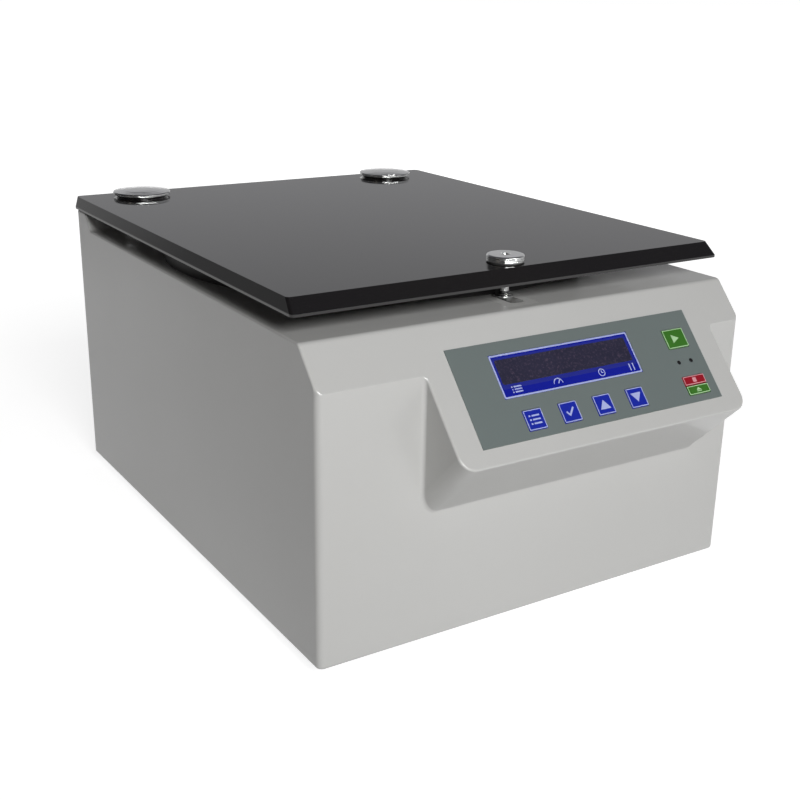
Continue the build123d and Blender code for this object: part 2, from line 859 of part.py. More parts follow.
def station_frame(index, tilt):
    """Plane on a trunnion axis: x along the axis, y outward, z up the holder."""
    turn = radians(station_angle + index * 360 / station_count)
    outward = Vector(cos(turn), sin(turn), 0)
    along = Vector(sin(turn), -cos(turn), 0)
    origin = Vector(0, chamber_y, pivot_z) + outward * pivot_radius
    up = Vector(0, 0, cos(tilt)) + outward * sin(tilt)
    return Plane(origin, x_dir=along, z_dir=up)


def side_plane(frame, distance):
    """Sketch plane across a trunnion: x is outward, y is up."""
    return Plane(frame.origin + frame.x_dir * distance, x_dir=frame.y_dir, z_dir=frame.x_dir)


lug_x = trunnion_reach - lug_thickness - trunnion_fit
with BuildPart() as rotor_head:
    with BuildSketch(spindle_plane) as head_section:
        with BuildLine():
            Polyline(
                (shaft_radius + shaft_fit, hub_z),
                (hub_radius, hub_z),
                (hub_flare_radius, rotor_plate_z),
                (plate_radius, rotor_plate_z),
                (plate_radius, rotor_plate_z + rotor_plate_thickness + rotor_rim_height),
                (
                    plate_radius - rotor_rim_width,
                    rotor_plate_z + rotor_plate_thickness + rotor_rim_height,
                ),
                (plate_radius - rotor_rim_width, rotor_plate_z + rotor_plate_thickness),
                (hub_flare_radius, rotor_plate_z + rotor_plate_thickness),
                (hub_radius, rotor_plate_z + rotor_plate_thickness + hub_flare_height),
                (hub_radius, hub_top_z),
                (shaft_radius + shaft_fit, hub_top_z),
                close=True,
            )
        make_face()
    revolve(axis=spindle_axis)
    for index in range(station_count):
        frame = station_frame(index, 0)
        plate_level = rotor_plate_z - pivot_z
        for side in (-lug_x - lug_thickness, lug_x):
            with BuildSketch(side_plane(frame, side)) as lug_section:
                with BuildLine():
                    Polyline(
                        (lug_root_radius - pivot_radius, plate_level),
                        (plate_radius - pivot_radius, plate_level),
                        (lug_half_length, -lug_drop),
                        (lug_half_length, lug_top),
                        (-lug_half_length, lug_top),
                        (-lug_half_length, -lug_half_length),
                        (
                            lug_root_radius - pivot_radius,
                            plate_level + rotor_plate_thickness + rotor_rim_height,
                        ),
                        close=True,
                    )
                make_face()
                Circle(trunnion_radius + trunnion_fit, mode=Mode.SUBTRACT)
                Rectangle(
                    2 * (trunnion_radius + trunnion_fit),
                    lug_top,
                    align=(Align.CENTER, Align.MIN),
                    mode=Mode.SUBTRACT,
                )
            extrude(amount=lug_thickness)
rotor_head.part.label = "rotor_head"
export_step(rotor_head.part, "parts/rotor_head.step")

with BuildPart() as rotor_nut:
    with BuildSketch(Plane.XY.offset(hub_top_z)) as nut_section:
        with Locations((0, chamber_y)):
            Circle(nut_knob_radius)
            with PolarLocations(nut_knob_radius + nut_flute_radius / 2, nut_flute_count):
                Circle(nut_flute_radius, mode=Mode.SUBTRACT)
            Circle(thread_radius + shaft_fit, mode=Mode.SUBTRACT)
    extrude(amount=nut_knob_height)
rotor_nut.part.label = "rotor_nut"
export_step(rotor_nut.part, "parts/rotor_nut.step")

# ==== Slide holders, one per station =======================================
# Each piece is drawn once in the holder's own frame: x along the trunnions,
# y away from the spindle, z up the slide, with the origin between the
# trunnions. The four stations then carry copies of it.
clip_face = slide_face + slide_thickness + clip_clearance
clip_half = slide_width / 2 + clip_side_clearance
clip_outside = clip_half + clip_thickness
slide_bottom = slide_top - slide_length
clip_bottom = slide_bottom - clip_clearance - clip_thickness
funnel_face = slide_face - funnel_card_gap
inward = Plane(origin=(0, 0, 0), x_dir=(1, 0, 0), z_dir=(0, -1, 0))

with BuildPart() as slide:
    with BuildSketch(inward.offset(-slide_face - slide_thickness)) as slide_section:
        with Locations((0, slide_top)):
            Rectangle(slide_width, slide_length, align=(Align.CENTER, Align.MAX))
    extrude(amount=slide_thickness)

with BuildPart() as clip:
    # back plate with its viewing window
    with BuildSketch(inward.offset(-clip_face - clip_thickness)) as clip_back:
        with Locations((0, clip_bottom)):
            Rectangle(2 * clip_outside, clip_top - clip_bottom, align=(Align.CENTER, Align.MIN))
        with Locations((0, -port_drop)):
            Rectangle(clip_window_width, clip_window_height, mode=Mode.SUBTRACT)
    extrude(amount=clip_thickness)
    # folded side walls, wider at the trunnion ears, and the bottom ledge
    for side in (-clip_outside, clip_half):
        with BuildSketch(Plane.YZ.offset(side)) as clip_side:
            with BuildLine():
                Polyline(
                    (clip_face, clip_bottom),
                    (clip_face, clip_top),
                    (clip_side_front, clip_top),
                    (clip_ear_front, clip_ear_half),
                    (clip_ear_front, -clip_ear_half),
                    (clip_side_front, -clip_top),
                    (clip_side_front, clip_bottom),
                    close=True,
                )
            make_face()
        extrude(amount=clip_thickness)
    with BuildSketch(inward.offset(-clip_face)) as clip_ledge:
        with Locations((0, clip_bottom)):
            Rectangle(2 * clip_half, clip_thickness, align=(Align.CENTER, Align.MIN))
    extrude(amount=clip_face - clip_side_front)
    for side in (-trunnion_reach, clip_outside):
        with BuildSketch(Plane.YZ.offset(side)) as trunnion_section:
            Circle(trunnion_radius)
        extrude(amount=trunnion_reach - clip_outside)

with BuildPart() as funnel:
    # flange that presses the card on the slide, and the block with the well
    with BuildSketch(inward.offset(-funnel_face)) as funnel_flange:
        with Locations((0, -funnel_flange_bottom)):
            Rectangle(
                funnel_flange_width,
                funnel_flange_top + funnel_flange_bottom,
                align=(Align.CENTER, Align.MIN),
            )
    extrude(amount=funnel_flange_thickness)
    with BuildSketch(inward.offset(-funnel_face)) as funnel_block:
        with Locations((0, -funnel_bottom)):
            Rectangle(funnel_width, funnel_top + funnel_bottom, align=(Align.CENTER, Align.MIN))
        fillet(vertices().group_by(Axis.Y)[0], radius=funnel_edge)
    extrude(amount=funnel_face + funnel_back)
    # sample well, narrowing towards the port that faces the slide
    for level, radius in ((funnel_top, well_mouth_radius), (funnel_top - well_depth, well_foot_radius)):
        with BuildSketch(Plane.XY.offset(level)) as well_section:
            with Locations((0, -well_center)):
                Circle(radius)
    loft(mode=Mode.SUBTRACT)
    with BuildSketch(inward.offset(-funnel_face)) as port_section:
        with Locations((0, -port_drop + well_port_radius)):
            Circle(well_port_radius)
    extrude(amount=funnel_face + well_center, mode=Mode.SUBTRACT)

for index in range(station_count):
    holder_place = station_frame(index, lean).location
    for piece_name, piece in (("glass_slide", slide), ("slide_clip", clip), ("sample_funnel", funnel)):
        name = f"{piece_name}_{index + 1}"
        with BuildPart() as holder_piece:
            with Locations(holder_place):
                add(piece.part)
        holder_piece.part.label = name
        export_step(holder_piece.part, f"parts/{name}.step")

# ==== Lid plate ============================================================
lid_width = body_width + 2 * lid_side_overhang
lid_front_y = front_y + lid_front_setback
lid_rear_y = rear_y + lid_rear_overhang


def lid_outline(side_inset, front_inset):
    """Points of the lid outline, drawn in by the bevels."""
    half = lid_width / 2 - side_inset
    return [
        (-half, lid_front_y + front_inset),
        (half, lid_front_y + front_inset),
        (half, lid_rear_y - side_inset),
        (-half, lid_rear_y - side_inset),
    ]


lid_corners = [
    lid_front_corner_radius,
    lid_front_corner_radius,
    lid_rear_corner_radius,
    lid_rear_corner_radius,
]
with BuildPart() as lid_panel:
    with BuildSketch(Plane.XY.offset(lid_under_z)) as lid_base:
        with BuildLine():
            FilletPolyline(*lid_outline(0, 0), radius=lid_corners, close=True)
        make_face()
    extrude(amount=lid_lip)
    with BuildSketch(Plane.XY.offset(lid_under_z + lid_lip)) as lid_bevel_foot:
        with BuildLine():
            FilletPolyline(*lid_outline(0, 0), radius=lid_corners, close=True)
        make_face()
    with BuildSketch(Plane.XY.offset(lid_top_z)) as lid_bevel_top:
        with BuildLine():
            FilletPolyline(
                *lid_outline(lid_side_bevel, lid_front_bevel), radius=lid_corners, close=True
            )
        make_face()
    loft(ruled=True)
    with BuildSketch(Plane.XY.offset(lid_under_z)) as lid_holes:
        with Locations((0, knob_y)):
            Circle(striker_stem_radius + striker_stem_fit)
        with Locations((-hinge_x, cap_y), (hinge_x, cap_y)):
            Circle(stud_radius + lid_hole_fit)
    extrude(amount=lid_thickness, mode=Mode.SUBTRACT)
lid_panel.part.label = "lid_panel"
export_step(lid_panel.part, "parts/lid_panel.step")

# ==== Knob, washer and striker =============================================
knob_plane = Plane(origin=(0, knob_y, 0), x_dir=(1, 0, 0), z_dir=(0, -1, 0))
knob_axis = Axis((0, knob_y, 0), (0, 0, 1))
washer_top_z = lid_top_z + knob_washer_thickness
with BuildPart() as knob_washer:
    with BuildSketch(Plane.XY.offset(lid_top_z)) as washer_section:
        with Locations((0, knob_y)):
            Circle(knob_radius - knob_washer_inset)
            Circle(striker_stem_radius + striker_stem_fit, mode=Mode.SUBTRACT)
    extrude(amount=knob_washer_thickness)
knob_washer.part.label = "knob_washer"
export_step(knob_washer.part, "parts/knob_washer.step")

with BuildPart() as lid_knob:
    with BuildSketch(Plane.XY.offset(washer_top_z)) as knob_section:
        with Locations((0, knob_y)):
            Circle(knob_radius)
    extrude(amount=knob_height)
    fillet(edges().group_by(Axis.Z)[-1], radius=knob_edge_radius)
    with Locations((0, knob_y, washer_top_z + knob_height)):
        CounterBoreHole(
            knob_bore_radius, knob_recess_radius, knob_recess_depth, knob_bore_depth
        )
    with BuildSketch(Plane.XY.offset(washer_top_z)) as knob_socket:
        with Locations((0, knob_y)):
            Circle(striker_stem_radius)
    extrude(amount=striker_socket_depth, mode=Mode.SUBTRACT)
lid_knob.part.label = "lid_knob"
export_step(lid_knob.part, "parts/lid_knob.step")

rim_z = deck_z + striker_deck_gap
tongue_y = knob_y - tongue_offset
tongue_foot_z = deck_z - tongue_depth
bolt_z = deck_z - tongue_window_depth
with BuildPart() as latch_striker:
    with BuildSketch(knob_plane) as striker_section:
        with BuildLine():
            Polyline(
                (0, rim_z),
                (striker_flare_radius, rim_z),
                (striker_flare_radius, rim_z + striker_rim_thickness),
                (striker_stem_radius, rim_z + striker_rim_thickness + striker_flare_height),
                (striker_stem_radius, lid_under_z - striker_collar_thickness),
                (striker_collar_radius, lid_under_z - striker_collar_thickness),
                (striker_collar_radius, lid_under_z),
                (striker_stem_radius, lid_under_z),
                (striker_stem_radius, washer_top_z + striker_socket_depth),
                (0, washer_top_z + striker_socket_depth),
                close=True,
            )
        make_face()
    revolve(axis=knob_axis)
    with BuildSketch(Plane.YZ.offset(-tongue_width / 2)) as tongue_section:
        with Locations((tongue_y, tongue_foot_z)):
            Rectangle(
                tongue_length, rim_z - tongue_foot_z, align=(Align.CENTER, Align.MIN)
            )
        chamfer(vertices().group_by(Axis.Y)[0], length=tongue_chamfer)
        with Locations((tongue_y, bolt_z)):
            Rectangle(tongue_window, tongue_window, mode=Mode.SUBTRACT)
    extrude(amount=tongue_width)
latch_striker.part.label = "latch_striker"
export_step(latch_striker.part, "parts/latch_striker.step")

# ==== Lid lock under the deck ==============================================
box_top_z = deck_z - wall
box_half_width = collar_width / 2
with BuildPart() as lock_box:
    with BuildSketch(Plane.XY.offset(box_top_z - lock_box_height)) as box_section:
        with Locations((0, slot_y)):
            Rectangle(collar_width, slot_length + 2 * lock_box_end_wall)
    extrude(amount=lock_box_height)
    # ears that bear on the deck from below, and a collar flush with its top
    with BuildSketch(Plane.XY.offset(box_top_z - lock_ear_thickness)) as box_ears:
        with Locations((0, collar_y)):
            Rectangle(collar_width, collar_length + 2 * lock_ear_length)
    extrude(amount=lock_ear_thickness)
    with BuildSketch(Plane.XY.offset(box_top_z)) as box_collar:
        with Locations((0, collar_y)):
            RectangleRounded(collar_width, collar_length, lock_collar_corner_radius)
        with Locations((0, slot_y)):
            RectangleRounded(slot_width, slot_length, slot_corner_radius, mode=Mode.SUBTRACT)
    extrude(amount=wall)
    with BuildSketch(Plane.XY.offset(box_top_z)) as box_well:
        with Locations((0, slot_y)):
            Rectangle(slot_width, slot_length)
    extrude(amount=lock_box_floor - lock_box_height, mode=Mode.SUBTRACT)
    with BuildSketch(Plane.YZ.offset(-box_half_width)) as box_bolt_hole:
        with Locations((tongue_y, bolt_z)):
            Circle(bolt_radius + bolt_clearance)
    extrude(amount=2 * box_half_width, mode=Mode.SUBTRACT)
lock_box.part.label = "lock_box"
export_step(lock_box.part, "parts/lock_box.step")

with BuildPart() as lock_solenoid:
    with BuildSketch(Plane.YZ.offset(box_half_width)) as solenoid_section:
        with Locations((tongue_y, bolt_z)):
            Rectangle(solenoid_width, solenoid_height)
            Circle(bolt_radius + solenoid_fit, mode=Mode.SUBTRACT)
    extrude(amount=solenoid_length)
lock_solenoid.part.label = "lock_solenoid"
export_step(lock_solenoid.part, "parts/lock_solenoid.step")

bolt_tip_x = slot_width / 2 + bolt_retract
bolt_head_x = box_half_width + solenoid_length + bolt_travel + bolt_clearance
with BuildPart() as lock_bolt:
    with BuildSketch(Plane.YZ.offset(bolt_tip_x)) as bolt_section:
        with Locations((tongue_y, bolt_z)):
            Circle(bolt_radius)
    extrude(amount=bolt_head_x - bolt_tip_x)
    with BuildSketch(Plane.YZ.offset(bolt_head_x)) as bolt_head:
        with Locations((tongue_y, bolt_z)):
            Circle(bolt_head_radius)
    extrude(amount=bolt_head_thickness)
    chamfer(edges().group_by(Axis.X)[0], length=bolt_lead)
lock_bolt.part.label = "lock_bolt"
export_step(lock_bolt.part, "parts/lock_bolt.step")

# ==== Lid hinges ===========================================================
stud_bottom_z = lid_under_z - pad_thickness - arm_thickness - nut_thickness
arm_z = lid_under_z - pad_thickness - arm_thickness
with BuildPart() as cap:
    with BuildSketch(Plane.XZ) as cap_section:
        with BuildLine():
            Polyline(
                (0, stud_bottom_z),
                (stud_radius, stud_bottom_z),
                (stud_radius, lid_top_z),
                (cap_foot_radius, lid_top_z),
                (cap_foot_radius + cap_foot_flare, lid_top_z + cap_foot_height),
                (cap_radius, lid_top_z + cap_foot_height),
                (cap_radius, lid_top_z + cap_height - cap_edge_chamfer),
                (cap_radius - cap_edge_chamfer, lid_top_z + cap_height),
            )
            TangentArc(
                (0, lid_top_z + cap_height + cap_dome),
                (cap_radius - cap_edge_chamfer, lid_top_z + cap_height),
                tangent=(1, 0),
            )
            Line((0, lid_top_z + cap_height + cap_dome), (0, stud_bottom_z))
        make_face()
    revolve(axis=Axis.Z)

with BuildPart() as arm:
    with BuildSketch(Plane.XY.offset(arm_z)) as arm_section:
        with Locations((0, cap_y - arm_front_reach)):
            Rectangle(
                arm_width,
                rear_y + leaf_neck - cap_y + arm_front_reach,
                align=(Align.CENTER, Align.MIN),
            )
        fillet(vertices().group_by(Axis.Y)[0], radius=arm_corner_radius)
        with Locations((0, cap_y)):
            Rectangle(knuckle_length, pin_y - cap_y, align=(Align.CENTER, Align.MIN))
            Circle(stud_radius + stud_fit, mode=Mode.SUBTRACT)
    extrude(amount=arm_thickness)
    with BuildSketch(Plane.XY.offset(arm_z - nut_thickness)) as nut_section:
        with Locations((0, cap_y)):
            RegularPolygon(nut_radius, 6)
            Circle(stud_radius + stud_fit, mode=Mode.SUBTRACT)
    extrude(amount=nut_thickness)
    with BuildSketch(Plane.YZ.offset(-knuckle_length / 2)) as knuckle_section:
        with Locations((pin_y, pin_z)):
            Circle(knuckle_radius)
    extrude(amount=knuckle_length)
    with BuildSketch(Plane.YZ.offset(-knuckle_length / 2)) as knuckle_bore:
        with Locations((pin_y, pin_z)):
            Circle(pin_radius + pin_fit)
    extrude(amount=knuckle_length, mode=Mode.SUBTRACT)

with BuildPart() as pad:
    with BuildSketch(Plane.XY.offset(arm_z + arm_thickness)) as pad_section:
        with Locations((0, cap_y)):
            Rectangle(arm_width, 2 * arm_front_reach)
            Circle(stud_radius + lid_hole_fit, mode=Mode.SUBTRACT)
    extrude(amount=pad_thickness)

leaf_top_z = notch_z
leaf_bottom_z = leaf_top_z - leaf_height
leaf_middle_z = leaf_bottom_z + leaf_height / 2
with BuildPart() as bracket:
    with BuildSketch(rear_plane) as leaf_section:
        with Locations((0, leaf_bottom_z)):
            Rectangle(leaf_width, leaf_height, align=(Align.CENTER, Align.MIN))
        fillet(vertices().group_by(Axis.Y)[0], radius=arm_corner_radius)
        with Locations((0, leaf_middle_z)):
            with corner_grid(leaf_screw_spacing_x, leaf_screw_spacing_z):
                Circle(screw_radius, mode=Mode.SUBTRACT)
    extrude(amount=leaf_thickness)
    for side in (-leaf_width / 2, knuckle_length / 2 + knuckle_gap):
        with BuildSketch(Plane.YZ.offset(side)) as outer_knuckle:
            with BuildLine():
                Polyline(
                    (rear_y, leaf_top_z - knuckle_radius),
                    (rear_y + leaf_thickness, leaf_top_z - knuckle_radius),
                    (pin_y + knuckle_radius, pin_z),
                    (pin_y - knuckle_radius, pin_z),
                    (rear_y, leaf_top_z),
                    close=True,
                )
            make_face()
            with Locations((pin_y, pin_z)):
                Circle(knuckle_radius)
                Circle(pin_radius, mode=Mode.SUBTRACT)
        extrude(amount=(leaf_width - knuckle_length) / 2 - knuckle_gap)

with BuildPart() as hinge_caps:
    with Locations((-hinge_x, cap_y, 0), (hinge_x, cap_y, 0)):
        add(cap.part)
hinge_caps.part.label = "hinge_caps"
export_step(hinge_caps.part, "parts/hinge_caps.step")

with BuildPart() as hinge_arms:
    with Locations((-hinge_x, 0, 0), (hinge_x, 0, 0)):
        add(arm.part)
hinge_arms.part.label = "hinge_arms"
export_step(hinge_arms.part, "parts/hinge_arms.step")

with BuildPart() as hinge_pads:
    with Locations((-hinge_x, 0, 0), (hinge_x, 0, 0)):
        add(pad.part)
hinge_pads.part.label = "hinge_pads"
export_step(hinge_pads.part, "parts/hinge_pads.step")

with BuildPart() as hinge_brackets:
    with Locations((-hinge_x, 0, 0), (hinge_x, 0, 0)):
        add(bracket.part)
hinge_brackets.part.label = "hinge_brackets"
export_step(hinge_brackets.part, "parts/hinge_brackets.step")

with BuildPart() as hinge_pins:
    for side in (-hinge_x, hinge_x):
        with BuildSketch(Plane.YZ.offset(side - leaf_width / 2)) as pin_section:
            with Locations((pin_y, pin_z)):
                Circle(pin_radius)
        extrude(amount=leaf_width)
hinge_pins.part.label = "hinge_pins"
export_step(hinge_pins.part, "parts/hinge_pins.step")

with BuildPart() as bracket_screws:
    for side in (-hinge_x, hinge_x):
        with BuildSketch(rear_plane.offset(leaf_thickness)) as screw_head_section:
            with Locations((side, leaf_middle_z)):
                with corner_grid(leaf_screw_spacing_x, leaf_screw_spacing_z):
                    Circle(screw_head_radius)
        extrude(amount=screw_head_height)
        with BuildSketch(rear_plane) as screw_shank_section:
            with Locations((side, leaf_middle_z)):
                with corner_grid(leaf_screw_spacing_x, leaf_screw_spacing_z):
                    Circle(screw_radius)
        extrude(amount=leaf_thickness)
bracket_screws.part.label = "bracket_screws"
export_step(bracket_screws.part, "parts/bracket_screws.step")

# ==== Control panel ========================================================
with BuildPart() as control_overlay:
    with BuildSketch(panel_plane.offset(-overlay_recess)) as overlay_section:
        with Locations((overlay_center_x, overlay_center_s)):
            Rectangle(overlay_width, overlay_height)
        with Locations((window_center_x, window_center_s)):
            Rectangle(
                window_width + 2 * overlay_fit, window_height + 2 * overlay_fit, mode=Mode.SUBTRACT
            )
        for _, key_x, key_s, width, height in key_table[:-2]:
            with Locations((key_x, key_s)):
                RectangleRounded(
                    width + 2 * key_clearance,
                    height + 2 * key_clearance,
                    key_corner_radius,
                    mode=Mode.SUBTRACT,
                )
        with Locations((start_center_x, stop_center_s)):
            RectangleRounded(
                stop_width + 2 * key_clearance,
                2 * stop_height + stop_gap + 2 * key_clearance,
                key_corner_radius,
                mode=Mode.SUBTRACT,
            )
        with Locations((lamp_center_x, lamp_center_s)):
            with GridLocations(lamp_spacing, 1, 2, 1):
                Circle(lamp_radius + lamp_fit, mode=Mode.SUBTRACT)
    extrude(amount=overlay_thickness)
control_overlay.part.label = "control_overlay"
export_step(control_overlay.part, "parts/control_overlay.step")

with BuildPart() as display_window:
    with BuildSketch(panel_plane.offset(-overlay_recess)) as window_section:
        with Locations((window_center_x, window_center_s)):
            Rectangle(window_width, window_height)
    extrude(amount=window_thickness)
display_window.part.label = "display_window"
export_step(display_window.part, "parts/display_window.step")

with BuildPart() as display_module:
    with BuildSketch(panel_plane.offset(-wall)) as display_section:
        with Locations((window_center_x, window_center_s)):
            Rectangle(display_width, display_height)
    extrude(amount=-display_depth)
display_module.part.label = "display_module"
export_step(display_module.part, "parts/display_module.step")

for name, key_x, key_s, width, height in key_table:
    with BuildPart() as key:
        with BuildSketch(panel_plane.offset(-key_cap_depth)) as key_section:
            with Locations((key_x, key_s)):
                RectangleRounded(width, height, key_corner_radius)
        extrude(amount=key_cap_depth + key_rise)
        key_rim = key.faces().sort_by(Axis(panel_plane.origin, panel_plane.z_dir))[-1].edges()
        chamfer(key_rim, length=key_edge_radius)
        with BuildSketch(panel_plane.offset(-key_cap_depth)) as key_stem:
            with Locations((key_x, key_s)):
                Circle(key_stem_radius)
        extrude(amount=board_face + key_cap_depth + key_travel + key_clearance)
    key.part.label = name
    export_step(key.part, f"parts/{name}.step")

with BuildPart() as status_lamps:
    with BuildSketch(panel_plane.offset(board_face)) as lamp_section:
        with Locations((lamp_center_x, lamp_center_s)):
            with GridLocations(lamp_spacing, 1, 2, 1):
                Circle(lamp_radius)
    extrude(amount=overlay_thickness - overlay_recess - board_face)
status_lamps.part.label = "status_lamps"
export_step(status_lamps.part, "parts/status_lamps.step")

board_width = overlay_width - 2 * board_margin
board_height = overlay_height - 2 * board_margin
with BuildPart() as keypad_board:
    with BuildSketch(panel_plane.offset(board_face)) as board_section:
        with Locations((overlay_center_x, overlay_center_s)):
            Rectangle(board_width, board_height)
    extrude(amount=-board_thickness)
keypad_board.part.label = "keypad_board"
export_step(keypad_board.part, "parts/keypad_board.step")

drive_y = chamber_y
with BuildPart() as board_pillars:
    with BuildSketch(panel_plane.offset(-wall)) as panel_pillars:
        with Locations((overlay_center_x, overlay_center_s)):
            with corner_grid(board_width - 2 * pillar_radius, board_height - 2 * pillar_radius):
                Circle(pillar_radius)
    extrude(amount=-board_gap)
    with BuildSketch(Plane.XY.offset(plate_top_z)) as drive_pillars:
        with Locations((drive_board_x, drive_y)):
            with corner_grid(
                drive_board_width - 2 * drive_pillar_inset,
                drive_board_length - 2 * drive_pillar_inset,
            ):
                RegularPolygon(pillar_radius, 6)
    extrude(amount=drive_pillar_height)
board_pillars.part.label = "board_pillars"
export_step(board_pillars.part, "parts/board_pillars.step")

# ==== Drive electronics ====================================================
drive_board_z = plate_top_z + drive_pillar_height
drive_board_top_z = drive_board_z + board_thickness
sink_y = drive_y - drive_board_length / 2 + sink_length / 2 + drive_pillar_inset
sink_fin_pitch = (sink_width - sink_fin_thickness) / (sink_fin_count - 1)
capacitor_y = drive_y + capacitor_offset
with BuildPart() as drive_board:
    with BuildSketch(Plane.XY.offset(drive_board_z)) as drive_board_section:
        with Locations((drive_board_x, drive_y)):
            Rectangle(drive_board_width, drive_board_length)
    extrude(amount=board_thickness)
    with BuildSketch(Plane.XY.offset(drive_board_top_z)) as sink_foot:
        with Locations((drive_board_x, sink_y)):
            Rectangle(sink_width, sink_length)
    extrude(amount=sink_base)
    with BuildSketch(Plane.XY.offset(drive_board_top_z)) as sink_fins:
        with Locations((drive_board_x, sink_y)):
            with GridLocations(sink_fin_pitch, 1, sink_fin_count, 1):
                Rectangle(sink_fin_thickness, sink_length)
    extrude(amount=sink_height)
    with BuildSketch(Plane.XY.offset(drive_board_top_z)) as capacitor_section:
        with Locations((drive_board_x, capacitor_y)):
            with GridLocations(capacitor_spacing, 1, 2, 1):
                Circle(capacitor_radius)
    extrude(amount=capacitor_height)
drive_board.part.label = "drive_board"
export_step(drive_board.part, "parts/drive_board.step")

with BuildPart() as power_supply:
    with BuildSketch(Plane.XY.offset(plate_top_z)) as supply_section:
        with Locations((supply_x, drive_y)):
            Rectangle(supply_width, supply_length)
    extrude(amount=supply_height)
    with BuildSketch(Plane.XY.offset(plate_top_z + supply_height)) as supply_vents:
        with Locations((supply_x, drive_y)):
            with GridLocations(1, supply_vent_pitch, 1, supply_vent_count):
                SlotOverall(vent_length, vent_width)
    extrude(amount=-vent_width, mode=Mode.SUBTRACT)
power_supply.part.label = "power_supply"
export_step(power_supply.part, "parts/power_supply.step")

# ==== Mains inlet, fuse drawer and switch ==================================
flange_plane = rear_plane.offset(inlet_flange_thickness)
socket_center = (-inlet_x, socket_z + socket_rise)
drawer_center = (-inlet_x, socket_z - drawer_drop)
with BuildPart() as power_inlet:
    with BuildSketch(rear_plane) as inlet_flange:
        with Locations((-inlet_x, socket_z)):
            RectangleRounded(inlet_flange_width, inlet_flange_height, inlet_flange_corner)
    extrude(amount=inlet_flange_thickness)
    with BuildSketch(rear_plane) as inlet_body:
        with Locations((-inlet_x, socket_z)):
            Rectangle(inlet_body_width, inlet_body_height)
    extrude(amount=-inlet_body_depth)
    with BuildSketch(flange_plane) as socket_section:
        with Locations(socket_center):
            Rectangle(socket_width, socket_height)
        chamfer(vertices().group_by(Axis.Y)[-1], length=socket_chamfer)
    extrude(amount=-socket_depth, mode=Mode.SUBTRACT)
    with BuildSketch(flange_plane) as drawer_section:
        with Locations(drawer_center):
            Rectangle(drawer_width, drawer_height)
    extrude(amount=-drawer_depth, mode=Mode.SUBTRACT)
    with BuildSketch(flange_plane.offset(-socket_depth)) as blade_section:
        with Locations(socket_center):
            with Locations((0, blade_stagger / 2)):
                Rectangle(blade_width, blade_height)
            with Locations((0, -blade_stagger / 2)):
                with GridLocations(blade_spacing, 1, 2, 1):
                    Rectangle(blade_width, blade_height)
    extrude(amount=blade_length)
power_inlet.part.label = "power_inlet"
export_step(power_inlet.part, "parts/power_inlet.step")

with BuildPart() as fuse_drawer:
    with BuildSketch(flange_plane.offset(drawer_fit)) as drawer_lip:
        with Locations(drawer_center):
            RectangleRounded(drawer_lip_width, drawer_lip_height, inlet_fit)
    extrude(amount=drawer_lip_thickness)
    with BuildSketch(flange_plane.offset(drawer_fit)) as drawer_body:
        with Locations(drawer_center):
            Rectangle(drawer_width - 2 * drawer_fit, drawer_height - 2 * drawer_fit)
    extrude(amount=-drawer_depth)
fuse_drawer.part.label = "fuse_drawer"
export_step(fuse_drawer.part, "parts/fuse_drawer.step")

rocker_y = rear_y + switch_bezel_thickness - rocker_pin_depth
rocker_pin_length = rocker_width + 2 * rocker_fit + 2 * rocker_pin_reach
rocker_pin_x = switch_x - rocker_pin_length / 2
with BuildPart() as switch_bezel:
    with BuildSketch(rear_plane) as bezel_section:
        with Locations((-switch_x, socket_z)):
            RectangleRounded(switch_bezel_width, switch_bezel_height, inlet_fit)
    extrude(amount=switch_bezel_thickness)
    with BuildSketch(rear_plane) as switch_body:
        with Locations((-switch_x, socket_z)):
            Rectangle(switch_body_width, switch_body_height)
    extrude(amount=-switch_body_depth)
    with BuildSketch(rear_plane.offset(switch_bezel_thickness)) as switch_pocket:
        with Locations((-switch_x, socket_z)):
            Rectangle(
                rocker_width + 2 * rocker_fit, rocker_length + 2 * rocker_end_clearance
            )
    extrude(amount=-switch_pocket_depth, mode=Mode.SUBTRACT)
    with BuildSketch(Plane.YZ.offset(rocker_pin_x - rocker_pin_end_gap)) as rocker_bores:
        with Locations((rocker_y, socket_z)):
            Circle(rocker_pin_radius + rocker_pin_fit)
    extrude(amount=rocker_pin_length + 2 * rocker_pin_end_gap, mode=Mode.SUBTRACT)
switch_bezel.part.label = "switch_bezel"
export_step(switch_bezel.part, "parts/switch_bezel.step")

# The rocker is drawn level and then leans to its off side about its pivot.
rocker_lean = radians(rocker_tilt)
rocker_plane = Plane(
    origin=(switch_x - rocker_width / 2, rocker_y, socket_z),
    x_dir=(0, cos(rocker_lean), sin(rocker_lean)),
    z_dir=(1, 0, 0),
)
with BuildPart() as power_rocker:
    with BuildSketch(rocker_plane) as rocker_section:
        with BuildLine():
            Polyline(
                (rocker_pin_depth - rocker_root_depth, -rocker_root_half),
                (rocker_pin_depth, -rocker_length / 2),
                (rocker_pin_depth + rocker_crown, -rocker_length / 2),
                (rocker_pin_depth + rocker_dip, 0),
                (rocker_pin_depth + rocker_crown, rocker_length / 2),
                (rocker_pin_depth, rocker_length / 2),
                (rocker_pin_depth - rocker_root_depth, rocker_root_half),
                close=True,
            )
        make_face()
    extrude(amount=rocker_width)
    with BuildSketch(Plane.YZ.offset(rocker_pin_x)) as rocker_pins:
        with Locations((rocker_y, socket_z)):
            Circle(rocker_pin_radius)
    extrude(amount=rocker_pin_length)
power_rocker.part.label = "power_rocker"
export_step(power_rocker.part, "parts/power_rocker.step")
